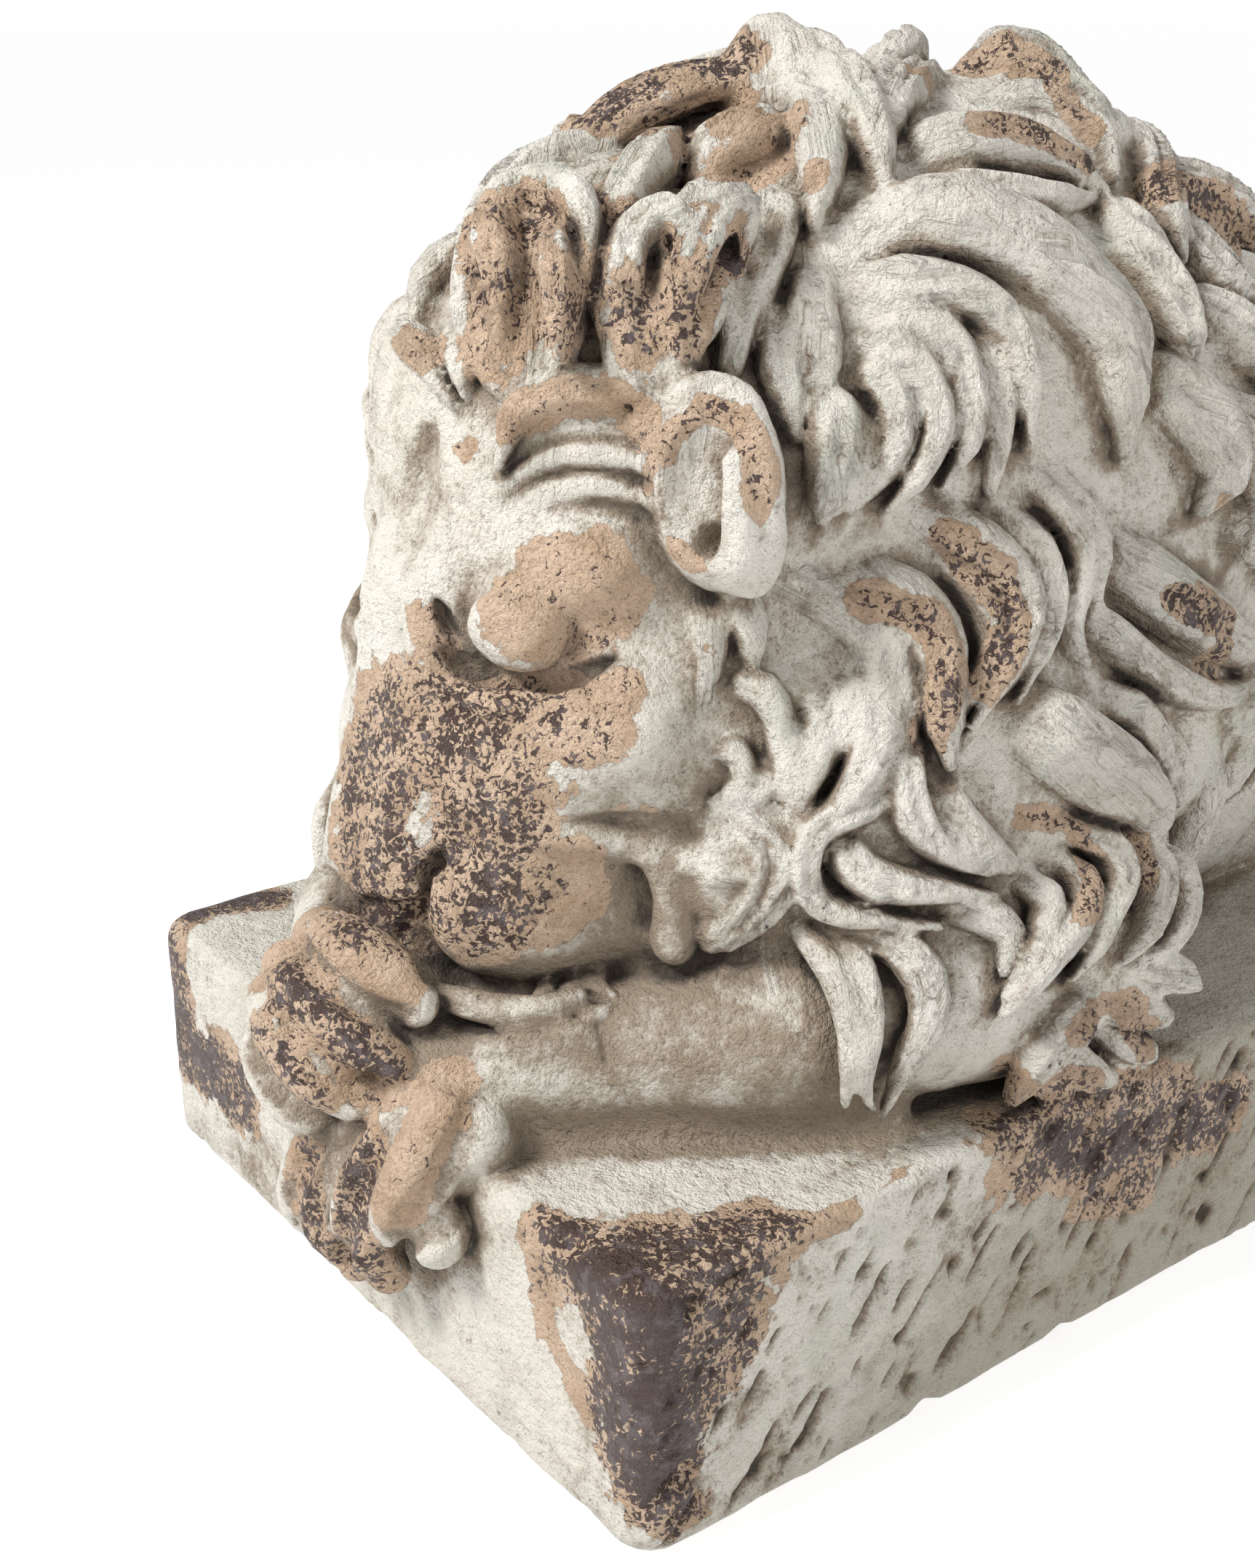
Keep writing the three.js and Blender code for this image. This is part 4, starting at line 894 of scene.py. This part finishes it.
mesh = bpy.data.meshes.new(PIECE)
mesh.vertices.add(len(points))
mesh.vertices.foreach_set("co", to_frame(points).astype(np.float32).ravel())
mesh.loops.add(3 * len(triangles))
mesh.loops.foreach_set("vertex_index", triangles.astype(np.int32).ravel())
mesh.polygons.add(len(triangles))
mesh.polygons.foreach_set("loop_start", np.arange(0, 3 * len(triangles), 3, dtype=np.int32))
mesh.update(calc_edges=True)
lion = bpy.data.objects.new(PIECE, mesh)
bpy.context.scene.collection.objects.link(lion)
thin = lion.modifiers.new("thin", "DECIMATE")
thin.ratio = FACES / len(triangles)
lion.data = bpy.data.meshes.new_from_object(lion.evaluated_get(bpy.context.evaluated_depsgraph_get()))
lion.modifiers.clear()
lion.data.name = PIECE
lion.data.polygons.foreach_set("use_smooth", np.ones(len(lion.data.polygons), bool))

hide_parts("sleeping_lion")
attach(lion, "root")

# Camera at the photograph's angle
toward_camera = Vector(
    (math.sin(AZIMUTH) * math.cos(ELEVATION), -math.cos(AZIMUTH) * math.cos(ELEVATION), math.sin(ELEVATION))
)
camera = bpy.data.objects.new("camera", bpy.data.cameras.new("camera"))
camera.data.sensor_width = SENSOR
camera.data.lens = SENSOR * FOCAL_PIXELS / PICTURE_HEIGHT
camera.location = to_frame(np.array(CAMERA_PLACE))
camera.rotation_mode = "QUATERNION"
camera.rotation_quaternion = (-toward_camera).to_track_quat("-Z", "Y")
camera.data.clip_start, camera.data.clip_end = 0.01, 100
bpy.context.scene.collection.objects.link(camera)
bpy.context.scene.camera = camera

# Wear, as values at the vertices. Each patch where the paint is off is a stroke: its radius, how dark it is
# inside, and the places on the lion that it runs through
WORN = [
    (29, 0.9, [[13, 14, 151], [3, 11, 131], [8, 4, 108], [23, 1, 87]]),
    (29, 0.9, [[52, 27, 152], [63, 26, 130], [61, 24, 107], [59, 20, 91]]),
    (14, 0.7, [[73, 33, 122], [76, 38, 99], [72, 29, 83]]),
    (17, 0.6, [[45, 31, 163], [67, 46, 166], [91, 54, 164]]),
    (12, 0.1, [[83, 53, 109], [83, 55, 93], [79, 43, 82]]),
    (17, 0.3, [[65, 37, 207], [77, 47, 201], [77, 64, 203]]),
    (13, 0.1, [[65, 51, 220], [79, 63, 224], [85, 72, 211]]),
    (9, 0.4, [[91, 61, 176], [96, 68, 178]]),
    (8, 0.3, [[20, 29, 194], [31, 29, 182]]),
    (9, 0.2, [[48, 50, 274], [64, 64, 281], [74, 81, 280], [82, 85, 272]]),
    (6, 0.3, [[24, 45, 259]]),
    (9, 0.3, [[-12, 41, 293], [3, 44, 292]]),
    (16, 0.7, [[13, 72, 334], [28, 63, 313], [31, 62, 293]]),
    (16, 0.7, [[9, 93, 336], [50, 71, 323], [60, 67, 311]]),
    (9, 0.8, [[51, 92, 336], [58, 83, 320], [61, 78, 304]]),
    (9, 0.9, [[39, 111, 348], [25, 141, 358]]),
    (11, 0.8, [[56, 99, 338], [70, 88, 321], [80, 87, 303]]),
    (12, 0.8, [[76, 119, 339], [85, 104, 324], [90, 97, 306]]),
    (6, 1.0, [[74, 133, 335], [77, 128, 338]]),
    (9, 1.4, [[4, 78, 341], [6, 95, 347], [44, 88, 345], [53, 86, 333]]),
    (7, 1.4, [[62, 96, 336], [61, 108, 343], [80, 106, 332]]),
    (7, 1.4, [[77, 118, 340], [75, 131, 344], [80, 128, 326]]),
    (22, 0.9, [[-26, 148, 378], [-20, 172, 389], [-8, 187, 392]]),
    (15, 0.7, [[-17, 181, 371], [23, 135, 360]]),
    (12, 0.1, [[6, 187, 384], [37, 164, 374]]),
    (13, 0.4, [[44, 157, 351], [47, 170, 361], [46, 178, 369]]),
    (6, 0.1, [[77, 169, 353], [75, 172, 357]]),
    (6, 0.4, [[85, 89, 249], [94, 87, 268], [103, 94, 280], [115, 102, 278], [125, 106, 263], [125, 105, 249]]),
    (5, 0.2, [[100, 86, 229], [106, 89, 224]]),
    (8, 0.6, [[130, 154, 205], [146, 171, 199], [157, 173, 185], [162, 168, 169], [158, 165, 156]]),
    (9, 0.8, [[141, 187, 225], [150, 203, 209], [158, 206, 192], [162, 191, 176]]),
    (10, 0.7, [[31, 300, 394], [42, 311, 397], [57, 317, 388]]),
    (8, 0.7, [[86, 250, 370], [93, 277, 367], [100, 295, 356]]),
    (9, 0.3, [[46, 257, 389]]),
    (6, 0.6, [[71, 307, 383], [83, 317, 365]]),
    (12, 0.9, [[106, 336, 345], [89, 386, 335], [92, 418, 318]]),
    (9, 1.0, [[162, 301, 187], [166, 329, 171], [163, 326, 150]]),
    (7, 0.7, [[171, 204, 118], [180, 227, 112], [188, 234, 92], [197, 220, 82]]),
    (7, 0.5, [[182, 264, 96], [187, 266, 83]]),
    (9, 0.5, [[189, 190, 15], [196, 207, 9], [201, 223, 4]]),
    (8, 0.6, [[206, 211, 35], [199, 249, 31], [199, 262, 10]]),
    (17, 0.9, [[12, -43, 55], [38, -40, 50], [56, -27, 33]]),
    (15, 0.8, [[14, -52, 33], [41, -47, 19]]),
    (13, 0.1, [[21, -18, 77], [49, -7, 66]]),
    (13, 0.1, [[-4, -20, 76], [-8, -37, 54]]),
    (13, 0.8, [[15, -33, -27], [14, -40, -52], [26, -31, -74], [55, -28, -70]]),
    (12, 0.9, [[59, -31, -3], [49, -34, -39], [56, -32, -60]]),
    (12, 0.1, [[74, -3, 26], [85, -25, 8], [80, -33, -19]]),
    (18, 1.1, [[142, -3, -12], [168, 7, -5], [181, 39, -5], [187, 64, -5]]),
    (27, 1.5, [[175, -2, -10], [191, 1, -22], [192, 1, -56], [194, 3, -80]]),
    (22, 1.1, [[188, 33, -5], [198, 37, -27], [198, 26, -50]]),
    (12, 1.0, [[193, 2, -98], [198, 20, -109]]),
    (7, 0.0, [[132, -3, -14], [136, -3, -46], [163, -3, -72]]),
    (24, 1.3, [[-187, -3, -28], [-175, -3, -67], [-120, -3, -68]]),
    (15, 1.4, [[-191, 16, -5], [-180, 50, -5]]),
    (14, 0.9, [[194, 182, -5], [198, 237, -14], [198, 289, -24]]),
    (19, 1.15, [[198, 204, -24], [198, 250, -40], [198, 327, -48]]),
    (12, 1.0, [[198, 235, -60], [198, 274, -66]]),
    (9, 0.2, [[198, 180, -16], [198, 178, -32]]),
    (6, 0.2, [[197, 87, -9], [196, 96, -8]]),
    (5, 0.1, [[192, 124, -5]]),
    (4, 0.1, [[94, 66, 130]]),
    (3, 0.1, [[98, 78, 127]]),
    (5, 0.2, [[164, 322, 225]]),
]
# Places on open skin that are made browner
BROWNED = [
    (20, [[86, 52, 100], [98, 74, 92], [104, 88, 84]]),
    (13, [[88, 58, 78], [100, 76, 66]]),
    (12, [[40, 30, 174], [60, 38, 170], [84, 52, 174]]),
    (16, [[120, 110, 104], [116, 104, 84]]),
    (14, [[100, 20, 10], [128, 80, 4], [160, 130, 4]]),
    (14, [[60, 4, 30], [40, -6, 20]]),
    (30, [[70, 44, 44], [112, 62, 38], [142, 104, 36]]),
]
vertices = np.empty(3 * len(lion.data.vertices), np.float32)
lion.data.vertices.foreach_get("co", vertices)
skin = from_frame(vertices.reshape(-1, 3).astype(float))
skin_out = outward(field, skin, 3.0)


def gap(reach):
    """How much nearer the casting is, at this reach in front of the skin, than it would be over a flat face."""
    return np.clip((reach - sample(field, skin + reach * skin_out)) / reach, 0, 1)


crevice = (gap(2.5) + gap(5) + gap(9)) / 3
hollow = (gap(14) + gap(26)) / 2
crest = sum(np.clip((sample(field, skin - reach * skin_out) + reach) / reach, 0, 1) for reach in (3.0, 6.0)) / 2
worn, dark, browned = (np.zeros(len(skin)) for _ in range(3))


def apart(places):
    """How far each vertex lies from a stroke's middle line, in mm."""
    places = np.asarray(places, float)
    away = np.linalg.norm(skin - places[0], axis=1)
    for a, b in zip(places[:-1], places[1:]):
        t = np.clip((skin - a) @ (b - a) / ((b - a) @ (b - a)), 0, 1)
        away = np.minimum(away, np.linalg.norm(skin - a - t[:, None] * (b - a), axis=1))
    return away


for radius, places in BROWNED:
    for s in (1, -1):
        browned = np.maximum(browned, np.clip(1.4 - apart(np.multiply(places, [s, 1, 1])) / radius, 0, 1))
for radius, depth, places in WORN:
    away = apart(places)
    worn = np.maximum(worn, np.clip(1.5 - away / radius, 0, 1))
    dark = np.maximum(dark, depth * np.clip(1.6 - 1.2 * away / radius, 0, 1))

hair = np.zeros(len(skin))
comb = np.zeros((len(skin), 3))
nearest = np.full(len(skin), 1.6)
owner = np.full(len(skin), -1)
for number, lock in enumerate(mane):
    inside = np.all((skin > lock.low) & (skin < lock.high), axis=1).nonzero()[0]
    off, across, along = lock.grain(skin[inside])
    closer = off < nearest[inside]
    chosen = inside[closer]
    nearest[chosen] = off[closer]
    owner[chosen] = number
    hair[chosen] = np.clip(5 - 3.4 * off[closer], 0, 1)
    comb[chosen] = np.stack([across[closer] / 1.7, along[closer] / 24, np.full(len(chosen), 5.0 * number)], 1)

edges = np.empty(2 * len(lion.data.edges), np.int32)
lion.data.edges.foreach_get("vertices", edges)
edges = edges.reshape(-1, 2)
hair[edges[owner[edges[:, 0]] != owner[edges[:, 1]]].ravel()] = 0

for name, values in (
    ("crevice", crevice),
    ("hollow", hollow),
    ("crest", crest),
    ("worn", worn),
    ("dark", dark),
    ("hair", hair),
    ("browned", browned),
    ("slab", np.clip((-DRAWING_RISE + 1 - skin[:, 2]) / 3, 0, 1)),
):
    lion.data.attributes.new(name, "FLOAT", "POINT").data.foreach_set("value", values.astype(np.float32))
lion.data.attributes.new("comb", "FLOAT_VECTOR", "POINT").data.foreach_set("vector", comb.astype(np.float32).ravel())

# The material: off-white paint, brown dirt and painted shade in the hollows, near-black painted shade deep in the
# crevices, and where the paint has flaked off, tan with dark mottle. A noise's size is in mm, and the shares and
# thresholds are set against the photograph
stone = bpy.data.materials.new("painted_cast_stone")
stone.use_nodes = True
tree = stone.node_tree
surface_node = tree.nodes["Principled BSDF"]


def node(kind, inputs=None, **settings):
    made = tree.nodes.new(kind)
    for name, value in settings.items():
        setattr(made, name, value)
    for name, value in (inputs or {}).items():
        if isinstance(value, bpy.types.NodeSocket):
            tree.links.new(value, made.inputs[name])
        else:
            made.inputs[name].default_value = value
    return made


def calc(operation, a, b=0.0, clamp=False):
    return node("ShaderNodeMath", {0: a, 1: b}, operation=operation, use_clamp=clamp).outputs[0]


def add(*terms):
    total = terms[0]
    for term in terms[1:]:
        total = calc("ADD", total, term)
    return total


def times(a, b, clamp=False):
    return calc("MULTIPLY", a, b, clamp)


def band(value, low, high):
    """0 up to low, 1 from high."""
    return node(
        "ShaderNodeMapRange", {"Value": value, "From Min": low, "From Max": high}, interpolation_type="SMOOTHSTEP"
    ).outputs["Result"]


def stored(name):
    return node("ShaderNodeAttribute", attribute_name=name, attribute_type="GEOMETRY").outputs["Fac"]


def noise(size, detail=3.0, roughness=0.55, distortion=0.0, vector=None):
    """Noise about 0, in features of the given size in mm."""
    made = node(
        "ShaderNodeTexNoise",
        {
            "Vector": vector or place,
            "Scale": 1 / size,
            "Detail": detail,
            "Roughness": roughness,
            "Distortion": distortion,
        },
    )
    return calc("SUBTRACT", made.outputs["Fac"], 0.5)


def mixed(factor, a, b):
    made = node("ShaderNodeMix", data_type="RGBA")
    for index, value in ((0, factor), (6, a), (7, b)):
        if isinstance(value, bpy.types.NodeSocket):
            tree.links.new(value, made.inputs[index])
        else:
            made.inputs[index].default_value = (*value, 1) if index else value
    return made.outputs[2]


coordinates = node("ShaderNodeTexCoord").outputs["Object"]
place = node("ShaderNodeVectorMath", {0: coordinates, "Scale": 1000.0}, operation="SCALE").outputs[0]
crevice_value, hollow_value, crest_value = stored("crevice"), stored("hollow"), stored("crest")
worn_value, dark_value, hair_value, slab_value = stored("worn"), stored("dark"), stored("hair"), stored("slab")
comb_vector = node("ShaderNodeAttribute", attribute_name="comb", attribute_type="GEOMETRY").outputs["Vector"]

broad, middle, small = noise(70, 3), noise(17, 5, 0.6), noise(5, 4, 0.6)
fine, grain = noise(1.6, 3, 0.6), noise(0.6, 2)
strands = times(noise(1, 4, 0.6, 0.2, comb_vector), hair_value)
ropes = times(noise(2.6, 2, 0.5, 0.1, comb_vector), hair_value)

# where the paint is off, with crisp flaked edges, and the mottle inside
flaking = add(worn_value, times(noise(22, 7, 0.66), 2.1), times(noise(5, 4, 0.6), 0.5), times(crest_value, 0.12))
bare = band(flaking, 0.495, 0.515)
lone = band(add(noise(28, 6, 0.64), times(crest_value, 0.14), times(crevice_value, -0.3)), 0.215, 0.222)
bare = calc("MAXIMUM", bare, lone)
# the band of paint just outside each flake, which takes a painted shadow
flake_edge_shadow = times(band(flaking, 0.42, 0.5), calc("SUBTRACT", 1.0, bare))
worms = noise(2.8, 3, 0.6, 0.8)
mottling = add(worms, times(noise(16, 3), 0.45), times(crest_value, 0.12), times(dark_value, 0.25))
mottle = times(band(mottling, 0.21, 0.25), bare)

# paint, the dirt on it, and painted shade in its crevices and hollows
paint = mixed(band(broad, -0.1, 0.15), (0.69, 0.645, 0.57), (0.72, 0.685, 0.615))
paint = mixed(times(band(noise(45, 4), 0.02, 0.2), 0.45), paint, (0.50, 0.51, 0.42))
paint = mixed(times(band(middle, -0.05, 0.22), 0.35), paint, (0.47, 0.42, 0.35))
rear, low = (node("ShaderNodeSeparateXYZ", {0: place}).outputs[i] for i in (1, 2))
damp = times(band(add(rear, times(low, -1.6), times(middle, 160)), -520, -300), slab_value)
paint = mixed(times(damp, 0.75), paint, (0.34, 0.31, 0.24))
# darker where dirt gathers and where shade falls in crevices and hollows (painted shade), lighter on crests
grime_and_shade = add(
    times(crevice_value, 1.5),
    times(hollow_value, 0.42),
    times(stored("browned"), 0.55),
    times(small, 0.9),
    times(middle, 0.7),
    times(fine, 0.5),
    times(strands, -1.2),
    times(ropes, -0.8),
    times(crest_value, -0.35),
)
# brown for dirt and for painted shade
paint = mixed(times(band(grime_and_shade, 0.02, 0.75), 0.85), paint, (0.24, 0.172, 0.108))
specks = times(band(add(fine, times(middle, 0.4), times(crevice_value, 0.25)), 0.13, 0.2), 0.5)
paint = mixed(specks, paint, (0.20, 0.165, 0.13))
# a painted shadow on the paint along the edge of each flake
paint = mixed(times(flake_edge_shadow, 0.35), paint, (0.30, 0.25, 0.2))
# near-black painted shade deep in the crevices
paint = mixed(times(band(add(crevice_value, times(small, 0.35)), 0.34, 0.72), 0.92), paint, (0.04, 0.029, 0.021))

tan = mixed(band(middle, -0.15, 0.18), (0.60, 0.44, 0.315), (0.46, 0.32, 0.21))
tan = mixed(times(band(fine, 0.02, 0.2), 0.35), tan, (0.24, 0.16, 0.11))
brown = mixed(band(noise(7, 3), -0.02, 0.16), (0.066, 0.038, 0.03), (0.125, 0.095, 0.094))
under = mixed(mottle, tan, brown)
# the same near-black painted shade in the crevices of the bare stone
under = mixed(times(band(add(crevice_value, times(small, 0.3)), 0.3, 0.8), 0.85), under, (0.04, 0.028, 0.022))
tree.links.new(mixed(bare, paint, under), surface_node.inputs["Base Color"])

glossy = add(0.86, times(mottle, -0.34), times(bare, -0.06), times(fine, 0.2))
tree.links.new(glossy, surface_node.inputs["Roughness"])

# relief, in mm
cells = node("ShaderNodeTexVoronoi", {"Vector": place, "Scale": 1 / 9}, feature="F1").outputs
shade = node("ShaderNodeSeparateColor", {0: cells["Color"]}).outputs[0]
raised = times(band(shade, 0.5, 0.51), slab_value)
pits = times(calc("SUBTRACT", 1.0, band(cells["Distance"], 0.08, 0.16)), band(middle, -0.02, 0.08))
pits = times(pits, calc("SUBTRACT", 1.0, raised))
drops = times(calc("SUBTRACT", 1.0, band(cells["Distance"], 0.02, 0.2)), times(band(middle, 0.0, 0.04), raised))
height = add(
    times(grain, 0.8),
    times(fine, 2.2),
    times(small, 4.5),
    times(middle, 4.0),
    times(times(worms, bare), -3.0),
    times(bare, -0.9),
    times(mottle, -0.4),
    times(pits, -2.2),
    times(strands, 5.0),
    times(ropes, 6.0),
    times(drops, 2.0),
)
bump = node("ShaderNodeBump", {"Height": height, "Strength": 1.0, "Distance": 0.001})
tree.links.new(bump.outputs[0], surface_node.inputs["Normal"])
lion.data.materials.clear()
lion.data.materials.append(stone)

# Floor and soft studio light: a bright floor, a key light from the front and a weaker one from the near side
FLOOR_REACH = 60
floor_mesh = bpy.data.meshes.new("floor")
floor_corners = [(i * FLOOR_REACH, j * FLOOR_REACH, 0) for i, j in ((-1, -1), (1, -1), (1, 1), (-1, 1))]
floor_mesh.from_pydata(floor_corners, [], [(0, 1, 2, 3)])
floor = bpy.data.objects.new("floor", floor_mesh)
bpy.context.scene.collection.objects.link(floor)
pale = bpy.data.materials.new("pale_floor")
pale.use_nodes = True
pale_surface = pale.node_tree.nodes["Principled BSDF"]
pale_surface.inputs["Base Color"].default_value = (0.45, 0.45, 0.45, 1)
pale_surface.inputs["Emission Color"].default_value = (1, 1, 1, 1)
pale_surface.inputs["Emission Strength"].default_value = 0.75
floor_mesh.materials.append(pale)


def lamp(name, place, aim, size, power):
    data = bpy.data.lights.new(name, "AREA")
    data.shape, data.size, data.energy = "SQUARE", size, power
    light = bpy.data.objects.new(name, data)
    light.location = place
    light.rotation_mode = "QUATERNION"
    light.rotation_quaternion = (Vector(aim) - Vector(place)).to_track_quat("-Z", "Y")
    bpy.context.scene.collection.objects.link(light)


lamp("key", (-0.4, -2.3, 2.3), (0, -0.25, 0.25), 0.8, 102)
lamp("fill", (2.6, -0.5, 1.5), (0, -0.1, 0.25), 1.5, 22)
bpy.context.scene.view_settings.view_transform = "Standard"
world = bpy.data.worlds.new("studio")
world.use_nodes = True

# white at the horizon, and softer light from above
sky = world.node_tree
sky.nodes["Background"].inputs["Color"].default_value = (1, 1, 1, 1)
direction = sky.nodes.new("ShaderNodeTexCoord").outputs["Generated"]
upward, glow = sky.nodes.new("ShaderNodeSeparateXYZ"), sky.nodes.new("ShaderNodeMapRange")
glow.inputs["From Min"].default_value, glow.inputs["From Max"].default_value = 0.06, 0.12
glow.inputs["To Min"].default_value, glow.inputs["To Max"].default_value = 1.0, 0.4
sky.links.new(direction, upward.inputs[0])
sky.links.new(upward.outputs["Z"], glow.inputs["Value"])
sky.links.new(glow.outputs["Result"], sky.nodes["Background"].inputs["Strength"])
bpy.context.scene.world = world
